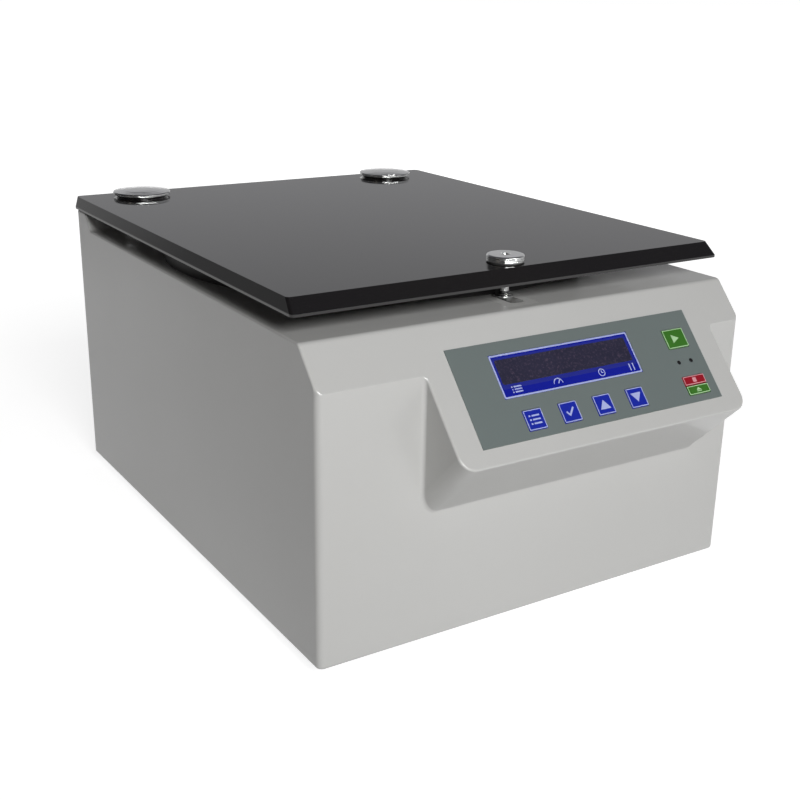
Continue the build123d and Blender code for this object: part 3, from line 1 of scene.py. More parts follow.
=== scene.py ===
# %% [markdown]
# # A bench cytocentrifuge
# This lesson dresses a machine that spins cells onto glass slides. The solid
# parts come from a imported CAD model, so here they only get their finishes, and
# small things that CAD leaves out are added: printed symbols, screw heads, the
# filter cards in the slide holders, the mains pins. Lengths are in metres.
#
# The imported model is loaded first. Each part keeps its place, and each new
# piece is later told which moving body it rides on.

# %% Load the machine
import json
import math

import bmesh
import bpy
from mathutils import Matrix, Vector

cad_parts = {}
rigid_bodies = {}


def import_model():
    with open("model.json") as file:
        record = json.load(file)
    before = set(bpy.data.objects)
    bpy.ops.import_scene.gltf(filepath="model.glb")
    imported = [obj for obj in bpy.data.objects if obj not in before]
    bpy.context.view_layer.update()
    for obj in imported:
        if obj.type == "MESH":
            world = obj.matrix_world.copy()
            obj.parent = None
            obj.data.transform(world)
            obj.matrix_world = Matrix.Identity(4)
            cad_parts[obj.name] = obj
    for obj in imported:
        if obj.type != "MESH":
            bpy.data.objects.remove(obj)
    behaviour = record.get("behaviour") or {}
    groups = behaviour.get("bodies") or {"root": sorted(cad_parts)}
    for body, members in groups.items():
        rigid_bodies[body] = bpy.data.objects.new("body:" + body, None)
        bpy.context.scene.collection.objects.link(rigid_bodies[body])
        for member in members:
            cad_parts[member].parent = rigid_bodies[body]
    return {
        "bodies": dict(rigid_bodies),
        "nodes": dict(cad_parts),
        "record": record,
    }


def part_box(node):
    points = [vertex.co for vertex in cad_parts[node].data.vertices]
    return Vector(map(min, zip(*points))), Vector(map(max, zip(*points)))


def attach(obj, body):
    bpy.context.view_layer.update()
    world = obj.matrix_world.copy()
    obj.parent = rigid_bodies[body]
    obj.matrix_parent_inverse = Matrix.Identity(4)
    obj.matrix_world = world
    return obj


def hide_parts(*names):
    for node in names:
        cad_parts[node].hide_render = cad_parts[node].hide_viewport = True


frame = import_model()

scene = bpy.context.scene
nodes = frame["nodes"]
own_names = {thing.name for thing in list(nodes.values()) + list(frame["bodies"].values())}
for leftover in [thing for thing in bpy.data.objects if thing.name not in own_names]:
    bpy.data.objects.remove(leftover)
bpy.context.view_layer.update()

# %% [markdown]
# ## Helpers for materials
# Every finish below is a small graph of shader nodes, and a few helpers keep
# the graphs short. The first ones add a node and set its values, or join two
# sockets. Those for sums hand back the result, so the next node can take it.

# %% Add and join nodes
def add_node(tree, kind, settings=None, **values):
    """A new shader node. Values are given by socket name, with _ for a space."""
    made = tree.nodes.new("ShaderNode" + kind)
    for name, value in (settings or {}).items():
        setattr(made, name, value)
    for name, value in values.items():
        made.inputs[name.replace("_", " ")].default_value = value
    return made


def join(tree, source, target):
    tree.links.new(source, target)


def feed(tree, source, target):
    """Joins a socket to the target, or gives the target a plain value."""
    if isinstance(source, bpy.types.NodeSocket):
        join(tree, source, target)
    else:
        target.default_value = source


def math_node(tree, operation, first, second, clamp=False):
    """The result of a Math node; each side is a socket or a number."""
    made = add_node(tree, "Math", {"operation": operation, "use_clamp": clamp})
    feed(tree, first, made.inputs[0])
    feed(tree, second, made.inputs[1])
    return made.outputs[0]


def map_range(tree, value, start, end, low=0.0, high=1.0):
    """A result that goes from low to high while the value goes from start to end."""
    made = add_node(tree, "MapRange")
    ends = {"Value": value, "From Min": start, "From Max": end, "To Min": low, "To Max": high}
    for label, source in ends.items():
        feed(tree, source, made.inputs[label])
    return made.outputs["Result"]


print("node helpers ready")

# %% [markdown]
# Most finishes repeat four things: a noise that stays on its object, a mix of
# two colours, a value that swings with a noise, and a Bump node that turns a
# height into a normal.

# %% Patterns, mixes and relief
def noise(tree, scale, **values):
    """A noise over the object's own coordinates; the scale is a socket or a number."""
    made = add_node(tree, "TexNoise", **values)
    join(tree, add_node(tree, "TexCoord").outputs["Object"], made.inputs["Vector"])
    feed(tree, scale, made.inputs["Scale"])
    return made.outputs["Fac"]


def mix_colors(tree, factor, first, second):
    """A mix of two colours; each is a socket or a plain colour."""
    made = add_node(tree, "Mix", {"data_type": "RGBA"})
    for label, source in (("Factor", factor), ("A", first), ("B", second)):
        feed(tree, source, made.inputs[label])
    return made.outputs["Result"]


def swung(tree, middle, swing, pattern):
    """A value that swings about its middle while a pattern goes from 0 to 1."""
    centered = math_node(tree, "SUBTRACT", pattern, 0.5)
    return math_node(tree, "ADD", middle, math_node(tree, "MULTIPLY", centered, swing))


def add_relief(tree, shader, height, strength, distance):
    """A Bump node between a height and the shader's normal."""
    relief = add_node(tree, "Bump", Strength=strength, Distance=distance)
    join(tree, height, relief.inputs["Height"])
    join(tree, relief.outputs["Normal"], shader.inputs["Normal"])


print("pattern helpers ready")

# %% Materials and groups
def start_material(name, base, roughness, **values):
    """A material with its Principled shader set to plain starting values."""
    material = bpy.data.materials.new(name)
    material.use_nodes = True
    tree = material.node_tree
    shader = tree.nodes["Principled BSDF"]
    shader.inputs["Base Color"].default_value = (*base, 1)
    shader.inputs["Roughness"].default_value = roughness
    for socket, value in values.items():
        shader.inputs[socket.replace("_", " ")].default_value = value
    return material, tree, shader


def start_group(name, inputs, outputs):
    """An empty node group with named sockets, and its two end nodes."""
    group = bpy.data.node_groups.new(name, "ShaderNodeTree")
    for label, kind, value in inputs:
        socket = group.interface.new_socket(label, in_out="INPUT", socket_type=kind)
        socket.default_value = value
    for label, kind in outputs:
        group.interface.new_socket(label, in_out="OUTPUT", socket_type=kind)
    return group, group.nodes.new("NodeGroupInput"), group.nodes.new("NodeGroupOutput")


def use_group(tree, group, **values):
    """A group placed in a material, with its own values."""
    placed = tree.nodes.new("ShaderNodeGroup")
    placed.node_tree = group
    for name, value in values.items():
        placed.inputs[name.replace("_", " ")].default_value = value
    return placed


FLOAT, COLOR, VECTOR = "NodeSocketFloat", "NodeSocketColor", "NodeSocketVector"
print("material helpers ready")

# %% [markdown]
# ## Camera
# A small machine on a bench is shown as a person in front of it sees it, from
# the left and a little above. The lens is slightly longer than a normal one, so
# the near corner doesn't bulge. The camera is aimed with a direction and an up
# vector, because the view leans by a degree.

# %% Place the camera
MM = 0.001
camera_place = Vector((-497.3, -803.1, 433.3)) * MM
camera_forward = Vector((0.504443, 0.797556, -0.330820)).normalized()
camera_up = Vector((0.163633, 0.287894, 0.943579)).normalized()
camera_right = camera_forward.cross(camera_up).normalized()

camera = bpy.data.objects.new("camera", bpy.data.cameras.new("camera"))
scene.collection.objects.link(camera)
camera.data.sensor_width = 36
camera.data.lens = 53.47
camera.data.clip_start = 0.01
camera.data.clip_end = 30
aim = Matrix((camera_right, camera_right.cross(camera_forward), -camera_forward)).transposed()
camera.matrix_world = Matrix.Translation(camera_place) @ aim.to_4x4()
scene.camera = camera
scene.view_settings.view_transform = "Standard"
print("camera", [round(value, 3) for value in camera.location], "lens", camera.data.lens)

# %% [markdown]
# ## Room
# The room has white walls, a grey ceiling and a dark patch overhead, and it
# gets darker towards the left. A colour ramp over the height of the view line
# makes the ceiling, and a range over its sideways part makes the darker left.
# That is what polished surfaces mirror, so that they read as polished.

# %% Ceiling and darker left
LEFT_END, LEFT_START = -0.45, -0.05
FAR_LEFT_SHARE = 0.2
wall_white = (1, 1, 1, 1)
ceiling_grey = (0.43, 0.43, 0.44, 1)
overhead_dark = (0.10, 0.10, 0.11, 1)

world = bpy.data.worlds.new("studio")
scene.world = world
world.use_nodes = True
sky = world.node_tree
sky.nodes.clear()
view_line = add_node(sky, "SeparateXYZ")
join(sky, add_node(sky, "TexCoord").outputs["Generated"], view_line.inputs[0])
ceiling = add_node(sky, "ValToRGB")
shades = ceiling.color_ramp.elements
for height, shade in ((0.03, wall_white), (0.12, ceiling_grey), (0.35, ceiling_grey), (0.42, overhead_dark)):
    shades.new(height).color = shade
shades.remove(shades[-1])
shades.remove(shades[0])
join(sky, view_line.outputs["Z"], ceiling.inputs[0])
darker_left = map_range(sky, view_line.outputs["X"], LEFT_END, LEFT_START, FAR_LEFT_SHARE, 1.0)
print("ceiling shades at", [round(shade.position, 2) for shade in shades])

# %% [markdown]
# Three kinds of rays see three rooms. The eye, also through glass, sees pure
# white. A mirror sees the room as it was just built. Dull surfaces only need
# its light, so they get it without the darker left, at about a third of its
# strength. Light Path tells the rays apart, and two Mix Shaders choose.

# %% Sort the rays
DULL_STRENGTH = 0.3


def background(color, strength):
    """A Background shader; colour and strength are sockets or plain values."""
    made = add_node(sky, "Background")
    feed(sky, color, made.inputs["Color"])
    feed(sky, strength, made.inputs["Strength"])
    return made.outputs[0]


def choose(factor, first, second):
    """The first shader where the factor is 0, and the second where it is 1."""
    made = add_node(sky, "MixShader")
    for slot, source in enumerate((factor, first, second)):
        join(sky, source, made.inputs[slot])
    return made.outputs[0]


def seen_directly(tree, rays):
    """1 for a ray from the eye or through glass, and 0 for any other."""
    return math_node(tree, "MAXIMUM", rays.outputs["Is Camera Ray"], rays.outputs["Is Transmission Ray"])


rays = add_node(sky, "LightPath")
dull_room = background(ceiling.outputs["Color"], DULL_STRENGTH)
mirrored_room = background(ceiling.outputs["Color"], darker_left)
plain_white = background((1, 1, 1, 1), 1.0)
dull_or_mirror = choose(rays.outputs["Is Glossy Ray"], dull_room, mirrored_room)
seen_room = choose(seen_directly(sky, rays), dull_or_mirror, plain_white)
join(sky, seen_room, add_node(sky, "OutputWorld").inputs["Surface"])
print("the room has", len(sky.nodes), "nodes")

# %% [markdown]
# ## Lamps
# Three area lamps shape the form. The key lamp stands in front, a little to
# the left and well above, so the front and the control pod are bright and the
# lid throws a short shadow back over the deck. The side lamp is a weak warm
# strip, tall and narrow, and its streak shows on turned metal. The back fill
# lifts the far sides. It is hidden from mirrors, which would show it as a
# bright patch in the lid.

# %% Hang the lamps
def add_lamp(name, place, target, size, power, color):
    """An area lamp that looks from place to target; size is its width and height."""
    lamp = bpy.data.lights.new(name, "AREA")
    lamp.shape = "RECTANGLE"
    lamp.size = size[0]
    lamp.size_y = size[1]
    lamp.energy = power
    lamp.color = color
    holder = bpy.data.objects.new(name, lamp)
    holder.location = place
    holder.rotation_euler = (Vector(target) - Vector(place)).to_track_quat("-Z", "Y").to_euler()
    scene.collection.objects.link(holder)
    return holder


body_middle = (0, 0, 0.12)
add_lamp("key_lamp", (-0.42, -2.1, 1.3), body_middle, (0.8, 0.8), 45, (1, 1, 0.995))
add_lamp("side_lamp", (-2.3, -0.5, 1.6), (0, 0, 0.1), (0.14, 1.3), 0.9, (1, 0.9, 0.78))
back_fill = add_lamp("back_fill", (2.0, 1.9, 0.6), body_middle, (1.2, 0.8), 20, (1, 1, 1))
back_fill.visible_glossy = False

# %% [markdown]
# ## Bench top
# A wide sheet carries the machine and reaches so far that no horizon shows.
# Its paint is a dull light grey, and that is all that dull surfaces see of it,
# so it doesn't light them too strongly from below.

# %% Lay the bench top
bench_reach = 60
bench_corners = [(x * bench_reach, y * bench_reach, 0) for x, y in ((-1, -1), (1, -1), (1, 1), (-1, 1))]
bench_mesh = bpy.data.meshes.new("bench_top")
bench_mesh.from_pydata(bench_corners, [], [(0, 1, 2, 3)])
bench = bpy.data.objects.new("bench_top", bench_mesh)
scene.collection.objects.link(bench)
bench_paint, bench_tree, bench_dull = start_material("bench_white", (0.45, 0.45, 0.45), 0.9)
bench_mesh.materials.append(bench_paint)
print("bench top", bench_reach * 2, "m wide")

# %% [markdown]
# The eye, glass and mirrors also see a glow on top of that grey. It rises with
# the distance from the machine, so the far sheet is pure white and a soft
# shadow is left near the machine. In mirrors the glow is weaker on the left,
# where the room is darker, and most of all far away.

# %% Make it glow
NEAR_GLOW = 0.82
RISE_START, RISE_END = 0.5, 1.6
NEAR_LEFT_SHARE = 0.85
FADE_START, FADE_END = 0.9, 2.4
bench_rays = add_node(bench_tree, "LightPath")
bench_where = add_node(bench_tree, "TexCoord").outputs["Object"]
bench_length = add_node(bench_tree, "VectorMath", {"operation": "LENGTH"})
bench_parts = add_node(bench_tree, "SeparateXYZ")
join(bench_tree, bench_where, bench_length.inputs[0])
join(bench_tree, bench_where, bench_parts.inputs[0])
bench_distance = bench_length.outputs["Value"]
bench_aside = math_node(bench_tree, "DIVIDE", bench_parts.outputs["X"], bench_distance)
left_share = map_range(bench_tree, bench_distance, FADE_START, FADE_END, NEAR_LEFT_SHARE, FAR_LEFT_SHARE)
mirror_share = map_range(bench_tree, bench_aside, LEFT_END, LEFT_START, left_share, 1.0)
mirrored = math_node(bench_tree, "MULTIPLY", bench_rays.outputs["Is Glossy Ray"], mirror_share)
bench_seen = math_node(bench_tree, "MAXIMUM", seen_directly(bench_tree, bench_rays), mirrored)
bench_rise = map_range(bench_tree, bench_distance, RISE_START, RISE_END, NEAR_GLOW, 1.0)
bench_glow = math_node(bench_tree, "MULTIPLY", bench_seen, bench_rise)
bench_dull.inputs["Emission Color"].default_value = (1, 1, 1, 1)
join(bench_tree, bench_glow, bench_dull.inputs["Emission Strength"])
print("the bench finish has", len(bench_tree.nodes), "nodes")

# %% [markdown]
# ## Shared effect: tone
# No real surface is one flat colour. Moulded plastic has slow, faint changes of
# tone from flow and handling. This group mixes a colour with a second one by a
# large soft noise, and also puts out a roughness that swings with that noise.

# %% Group: tone
tone_group, tone_in, tone_out = start_group(
    "tone",
    [("Color", COLOR, (0.5, 0.5, 0.5, 1)), ("Second Color", COLOR, (0.4, 0.4, 0.4, 1)),
     ("Scale", FLOAT, 8.0), ("Roughness", FLOAT, 0.4), ("Roughness Swing", FLOAT, 0.05)],
    [("Color", COLOR), ("Roughness", FLOAT)],
)
tone_noise = noise(tone_group, tone_in.outputs["Scale"], Detail=3.0, Roughness=0.55)
tone_color = mix_colors(tone_group, tone_noise, tone_in.outputs["Color"], tone_in.outputs["Second Color"])
tone_rough = swung(tone_group, tone_in.outputs["Roughness"], tone_in.outputs["Roughness Swing"], tone_noise)
join(tone_group, tone_color, tone_out.inputs["Color"])
join(tone_group, tone_rough, tone_out.inputs["Roughness"])
print("group", tone_group.name, "has", len(tone_group.nodes), "nodes")

# %% [markdown]
# ## Shared effect: grain
# Moulds leave a fine grain, and sprayed paint a soft orange peel. Both are a
# height for a Bump node. The group adds a coarser noise to a fine one; each
# material sets how fine it is and how much of the coarse one it wants.

# %% Group: grain
COARSE_SCALE = 0.22
grain_group, grain_in, grain_out = start_group(
    "grain",
    [("Scale", FLOAT, 900.0), ("Coarse Share", FLOAT, 0.5)],
    [("Height", FLOAT)],
)
grain_fine = noise(grain_group, grain_in.outputs["Scale"], Detail=2.0)
grain_wider = math_node(grain_group, "MULTIPLY", grain_in.outputs["Scale"], COARSE_SCALE)
grain_coarse = noise(grain_group, grain_wider, Detail=1.0)
grain_part = math_node(grain_group, "MULTIPLY", grain_coarse, grain_in.outputs["Coarse Share"])
join(grain_group, math_node(grain_group, "ADD", grain_fine, grain_part), grain_out.inputs["Height"])
print("group", grain_group.name, "has", len(grain_group.nodes), "nodes")

# %% [markdown]
# ## Shared effect: edge wear
# Edges are rubbed first. A Bevel node gives the normal that a rounded edge
# would have; where it leaves the true normal, there is an edge. A noise breaks
# the mask up, so the wear comes and goes along the edge.

# %% Group: edge wear
EDGE_GAIN = 6.0
wear_group, wear_in, wear_out = start_group(
    "edge wear",
    [("Radius", FLOAT, 0.001), ("Amount", FLOAT, 1.0), ("Breakup Scale", FLOAT, 120.0)],
    [("Mask", FLOAT)],
)
wear_bevel = add_node(wear_group, "Bevel", {"samples": 4})
wear_true = add_node(wear_group, "NewGeometry")
wear_dot = add_node(wear_group, "VectorMath", {"operation": "DOT_PRODUCT"})
join(wear_group, wear_in.outputs["Radius"], wear_bevel.inputs["Radius"])
join(wear_group, wear_bevel.outputs["Normal"], wear_dot.inputs[0])
join(wear_group, wear_true.outputs["True Normal"], wear_dot.inputs[1])
wear_noise = noise(wear_group, wear_in.outputs["Breakup Scale"], Detail=4.0, Roughness=0.65)
wear_turn = math_node(wear_group, "SUBTRACT", 1.0, wear_dot.outputs["Value"])
wear_edge = math_node(wear_group, "MULTIPLY", wear_turn, EDGE_GAIN)
wear_broken = math_node(wear_group, "MULTIPLY", wear_edge, wear_noise)
wear_mask = math_node(wear_group, "MULTIPLY", wear_broken, wear_in.outputs["Amount"], clamp=True)
join(wear_group, wear_mask, wear_out.inputs["Mask"])
print("group", wear_group.name, "has", len(wear_group.nodes), "nodes")

# %% [markdown]
# ## Shared effect: dust
# Dust settles on what faces up. The mask is the upward part of the normal,
# times a speckled noise with a hard threshold, so it reads as separate specks
# and not as fog.

# %% Group: dust
SPECK_START, SPECK_FULL = 0.6, 0.78
dust_group, dust_in, dust_out = start_group(
    "dust",
    [("Speck Scale", FLOAT, 700.0), ("Amount", FLOAT, 0.3)],
    [("Mask", FLOAT)],
)
dust_noise = noise(dust_group, dust_in.outputs["Speck Scale"], Detail=5.0, Roughness=0.75)
dust_cut = map_range(dust_group, dust_noise, SPECK_START, SPECK_FULL)
dust_parts = add_node(dust_group, "SeparateXYZ")
join(dust_group, add_node(dust_group, "NewGeometry").outputs["Normal"], dust_parts.inputs[0])
dust_up = math_node(dust_group, "MAXIMUM", dust_parts.outputs["Z"], 0.0)
dust_specks = math_node(dust_group, "MULTIPLY", dust_up, dust_cut)
dust_mask = math_node(dust_group, "MULTIPLY", dust_specks, dust_in.outputs["Amount"])
join(dust_group, dust_mask, dust_out.inputs["Mask"])
print("group", dust_group.name, "has", len(dust_group.nodes), "nodes")

# %% [markdown]
# ## Shared effect: brushing
# Rolled and brushed steel has fine streaks along one direction. Noise that is
# squeezed along two axes and stretched along the third makes them. The Stretch
# input is a vector: a small number means long streaks along that axis. Two
# small numbers and a large one make rings round that axis, as a lathe leaves.

# %% Group: brushing
brush_group, brush_in, brush_out = start_group(
    "brushing",
    [("Stretch", VECTOR, (900.0, 20.0, 900.0)), ("Roughness", FLOAT, 0.3), ("Swing", FLOAT, 0.15)],
    [("Height", FLOAT), ("Roughness", FLOAT)],
)
brush_scale = add_node(brush_group, "VectorMath", {"operation": "MULTIPLY"})
brush_noise = add_node(brush_group, "TexNoise", Scale=1.0, Detail=4.0, Roughness=0.6)
join(brush_group, add_node(brush_group, "TexCoord").outputs["Object"], brush_scale.inputs[0])
join(brush_group, brush_in.outputs["Stretch"], brush_scale.inputs[1])
join(brush_group, brush_scale.outputs["Vector"], brush_noise.inputs["Vector"])
brush_streaks = brush_noise.outputs["Fac"]
brush_rough = swung(brush_group, brush_in.outputs["Roughness"], brush_in.outputs["Swing"], brush_streaks)
join(brush_group, brush_streaks, brush_out.inputs["Height"])
join(brush_group, brush_rough, brush_out.inputs["Roughness"])
print("group", brush_group.name, "has", len(brush_group.nodes), "nodes")

# %% [markdown]
# ## Putting effects into a material
# Most finishes here are the same recipe with other numbers: tone for the
# colour, lighter worn edges, specks of dust, and grain through a Bump node. So
# one function builds that recipe, and each finish only states its values. The
# finishes are kept in a dictionary, so that a piece can ask for one by name.

# %% A layered finish
WEAR_RADIUS = 0.0012
finishes = {}


def layered(name, color, second, roughness, swing=0.06, tone_scale=8.0, grain_scale=900.0, coarse=0.5,
            bump=0.05, bump_distance=0.0002, wear=0.3, wear_color=None, dust=0.12,
            dust_color=(0.62, 0.6, 0.57), **values):
    """Adds a finish of tone, edge wear, dust and grain over one Principled shader."""
    material, tree, shader = start_material(name, color, roughness, **values)
    tone = use_group(tree, tone_group, Color=(*color, 1), Second_Color=(*second, 1),
                     Scale=tone_scale, Roughness=roughness, Roughness_Swing=swing)
    worn = use_group(tree, wear_group, Radius=WEAR_RADIUS, Amount=wear)
    specks = use_group(tree, dust_group, Amount=dust)
    grain = use_group(tree, grain_group, Scale=grain_scale, Coarse_Share=coarse)
    lighter = wear_color or tuple(min(1.0, channel * 1.6 + 0.04) for channel in color)
    worn_color = mix_colors(tree, worn.outputs["Mask"], tone.outputs["Color"], (*lighter, 1))
    dusted_color = mix_colors(tree, specks.outputs["Mask"], worn_color, (*dust_color, 1))
    dusted_rough = math_node(tree, "ADD", tone.outputs["Roughness"], specks.outputs["Mask"])
    join(tree, dusted_color, shader.inputs["Base Color"])
    join(tree, dusted_rough, shader.inputs["Roughness"])
    add_relief(tree, shader, grain.outputs["Height"], bump, bump_distance)
    finishes[name] = material


print("layered finish ready")

# %% [markdown]
# ## Moulded shell, overlay and other plastics
# The shell is a light grey semi-gloss moulding with a very faint orange peel.
# The overlay is a printed polyester film with a fine matte texture. Keys and
# window are smooth glossy film. The sockets at the back are black and matte.

# %% Shell, overlay and window
layered("moulded_shell", (0.55, 0.55, 0.54), (0.52, 0.518, 0.505), 0.34, swing=0.08, tone_scale=5.0,
        grain_scale=420.0, bump=0.05, wear=0.12, wear_color=(0.7, 0.7, 0.69), dust=0.05,
        Coat_Weight=0.35, Coat_Roughness=0.07)
layered("grey_overlay", (0.150, 0.180, 0.176), (0.140, 0.167, 0.163), 0.42, grain_scale=2600.0,
        bump=0.12, wear=0.15, dust=0.04)
layered("blue_window", (0.006, 0.012, 0.33), (0.004, 0.010, 0.27), 0.16, grain_scale=700.0,
        bump=0.03, wear=0.0, dust=0.03, tone_scale=30.0)
print("outside:", ", ".join(finishes))

# %% Keys
for key_name, color, second in (("blue_key", (0.009, 0.022, 0.38), (0.007, 0.018, 0.33)),
                                ("green_key", (0.045, 0.18, 0.018), (0.036, 0.15, 0.015)),
                                ("red_key", (0.33, 0.006, 0.018), (0.28, 0.005, 0.015))):
    layered(key_name, color, second, 0.3, grain_scale=1500.0, bump=0.06, wear=0.1, dust=0.03, tone_scale=60.0)
print("keys:", ", ".join(name for name in finishes if "key" in name))

# %% Other plastics and rubber
layered("dark_plastic", (0.020, 0.020, 0.022), (0.014, 0.014, 0.015), 0.45, grain_scale=1800.0,
        bump=0.15, wear=0.25, wear_color=(0.12, 0.12, 0.12), dust=0.1)
layered("lock_plastic", (0.53, 0.53, 0.52), (0.50, 0.498, 0.485), 0.45, grain_scale=1400.0,
        bump=0.15, wear=0.1, wear_color=(0.65, 0.65, 0.64), dust=0.08)
layered("funnel_plastic", (0.74, 0.735, 0.70), (0.70, 0.69, 0.65), 0.3, grain_scale=1200.0,
        bump=0.08, wear=0.1, dust=0.02, Subsurface_Weight=0.15, Subsurface_Scale=0.003)
layered("lamp_lens", (0.012, 0.012, 0.013), (0.02, 0.02, 0.02), 0.12, grain_scale=900.0,
        bump=0.02, wear=0.0, dust=0.03)
layered("black_rubber", (0.014, 0.014, 0.014), (0.022, 0.021, 0.020), 0.62, grain_scale=1300.0,
        bump=0.3, wear=0.35, wear_color=(0.07, 0.07, 0.07), dust=0.25)
print("plastics and rubber:", len(finishes))

# %% [markdown]
# ## Smoked lid
# The lid is a thick plate of dark acrylic, polished on all sides. Nearly all
# that is seen of it is reflection, so its own colour is close to black and its
# roughness is what matters: a slow swing between very low values makes the
# reflected room slightly cloudy, as a wiped plastic plate is.

# %% Smoked lid
LID_ROUGHNESS = 0.055
layered("smoked_lid", (0.0085, 0.0075, 0.0095), (0.012, 0.011, 0.010), LID_ROUGHNESS, swing=0.06,
        tone_scale=7.0, grain_scale=60.0, coarse=0.8, bump=0.012, bump_distance=0.0006, wear=0.12,
        wear_color=(0.05, 0.05, 0.05), dust=0.05, dust_color=(0.4, 0.39, 0.37), IOR=1.49)
print("lid roughness", LID_ROUGHNESS)

# %% [markdown]
# ## Metals
# A metal's colour is its reflection colour and Metallic is 1. Brushed parts
# take the streaks group for both height and roughness. So do the polished knob
# and caps: their streaks are the fine rings that turning leaves, and a deeper
# relief spreads each reflection up and down. The rotor and the pillars take
# the layered recipe, and so does the motor, whose casting is painted.

# %% Brushed and turned metals
def brushed(name, color, roughness, stretch, bump=0.08, swing=0.2, depth=0.0001):
    """Adds a finish of streaked bare metal."""
    material, tree, shader = start_material(name, color, roughness, Metallic=1.0)
    darker = tuple(channel * 0.86 for channel in color)
    tone = use_group(tree, tone_group, Color=(*color, 1), Second_Color=(*darker, 1),
                     Scale=14.0, Roughness=roughness)
    streaks = use_group(tree, brush_group, Stretch=stretch, Roughness=roughness, Swing=swing)
    specks = use_group(tree, dust_group, Amount=0.2)
    dusted_rough = math_node(tree, "ADD", streaks.outputs["Roughness"], specks.outputs["Mask"])
    join(tree, tone.outputs["Color"], shader.inputs["Base Color"])
    join(tree, dusted_rough, shader.inputs["Roughness"])
    add_relief(tree, shader, streaks.outputs["Height"], bump, depth)
    finishes[name] = material


brushed("steel_plate", (0.48, 0.49, 0.50), 0.42, (30.0, 900.0, 900.0))
brushed("stainless_bowl", (0.60, 0.60, 0.59), 0.3, (300.0, 300.0, 2200.0))
brushed("hinge_steel", (0.56, 0.56, 0.55), 0.3, (900.0, 900.0, 60.0))
brushed("clip_steel", (0.66, 0.66, 0.65), 0.24, (1200.0, 1200.0, 80.0))
brushed("bearing_steel", (0.60, 0.60, 0.60), 0.2, (1500.0, 1500.0, 900.0))
brushed("solenoid_steel", (0.50, 0.49, 0.46), 0.38, (60.0, 900.0, 900.0))
brushed("screw_steel", (0.52, 0.52, 0.51), 0.32, (1200.0, 1200.0, 1200.0))
brushed("polished_steel", (0.82, 0.825, 0.82), 0.14, (8.0, 8.0, 2600.0), bump=0.8, swing=0.08, depth=0.0005)
print("steels:", len([name for name in finishes if "steel" in name]))

# %% Cast and machined metals
def solid_metal(name, color, roughness, **values):
    """Adds a finish of the layered recipe on bare metal."""
    worn = tuple(min(1.0, channel * 1.15) for channel in color)
    darker = tuple(channel * 0.9 for channel in color)
    layered(name, color, darker, roughness, wear_color=worn, Metallic=1.0, **values)


solid_metal("rotor_aluminium", (0.72, 0.73, 0.74), 0.34, grain_scale=1100.0, bump=0.12, dust=0.05)
solid_metal("brass_pillar", (0.62, 0.45, 0.19), 0.28, grain_scale=1400.0, bump=0.08, dust=0.05)
layered("motor_casting", (0.10, 0.105, 0.11), (0.08, 0.085, 0.09), 0.5, grain_scale=500.0, bump=0.4,
        wear=0.4, dust=0.2)
print("finishes so far:", len(finishes))

# %% [markdown]
# ## Glass and circuit boards
# The slides are thin clear glass with a frosted end for pencil marks. The
# frosting is a step in roughness along the slide, measured on each slide in
# its own generated coordinates. The boards are green, and their copper tracks
# show through the lacquer as a slightly lighter green.

# %% Slide glass
CLEAR, FROSTED = 0.02, 0.6
FROST_START, FROST_FULL = 0.72, 0.73
glass, glass_tree, glass_shader = start_material(
    "slide_glass", (0.93, 0.97, 0.96), CLEAR, IOR=1.52, Transmission_Weight=1.0)
glass_parts = add_node(glass_tree, "SeparateXYZ")
join(glass_tree, add_node(glass_tree, "TexCoord").outputs["Generated"], glass_parts.inputs[0])
frosting = map_range(glass_tree, glass_parts.outputs["Z"], FROST_START, FROST_FULL, CLEAR, FROSTED)
join(glass_tree, frosting, glass_shader.inputs["Roughness"])
glass_grain = use_group(glass_tree, grain_group, Scale=2400.0)
add_relief(glass_tree, glass_shader, glass_grain.outputs["Height"], 0.02, 0.0001)
finishes["slide_glass"] = glass
print("the top", round((1 - FROST_START) * 100), "percent of each slide is frosted")

# %% Circuit board
TRACK_START, TRACK_FULL = 0.28, 0.34
lacquer_green = (0.012, 0.09, 0.035)
track_green = (0.02, 0.15, 0.05)
board, board_tree, board_shader = start_material("circuit_board", lacquer_green, 0.35)
board_cells = add_node(board_tree, "TexVoronoi", {"distance": "CHEBYCHEV"}, Scale=160.0)
join(board_tree, add_node(board_tree, "TexCoord").outputs["Object"], board_cells.inputs["Vector"])
board_tracks = map_range(board_tree, board_cells.outputs["Distance"], TRACK_START, TRACK_FULL)
board_color = mix_colors(board_tree, board_tracks, (*lacquer_green, 1), (*track_green, 1))
join(board_tree, board_color, board_shader.inputs["Base Color"])
add_relief(board_tree, board_shader, board_tracks, 0.2, 0.0001)
finishes["circuit_board"] = board
print("all finishes of the CAD parts:", len(finishes))

# %% [markdown]
# ## Dressing the CAD parts
# The record of the machine names a material slot for each part. Each part's
# own material slots are filled with the finish of that name, and its mesh
# stays as it is.

# %% Assign finishes
for entry in frame["record"]["subparts"]:
    part = nodes[entry["node"]]
    part.data.materials.clear()
    part.data.materials.append(finishes[entry["material_slot"]])

# %% [markdown]
# ## Small pieces: how they are drawn
# Printed symbols are thin plates cut to an outline. A flat curve with a little
# depth makes such a plate, holes included, and is then turned into a mesh. Ink
# is as thin as a hair, yet thick enough to stand clear of the face below it.

# %% Flat plates
INK = 0.06 * MM


def dress(mesh, name, finish, body):
    """An object with its finish, riding on a body."""
    piece = bpy.data.objects.new(name, mesh)
    scene.collection.objects.link(piece)
    mesh.materials.clear()
    mesh.materials.append(finishes[finish])
    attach(piece, body)
    return piece


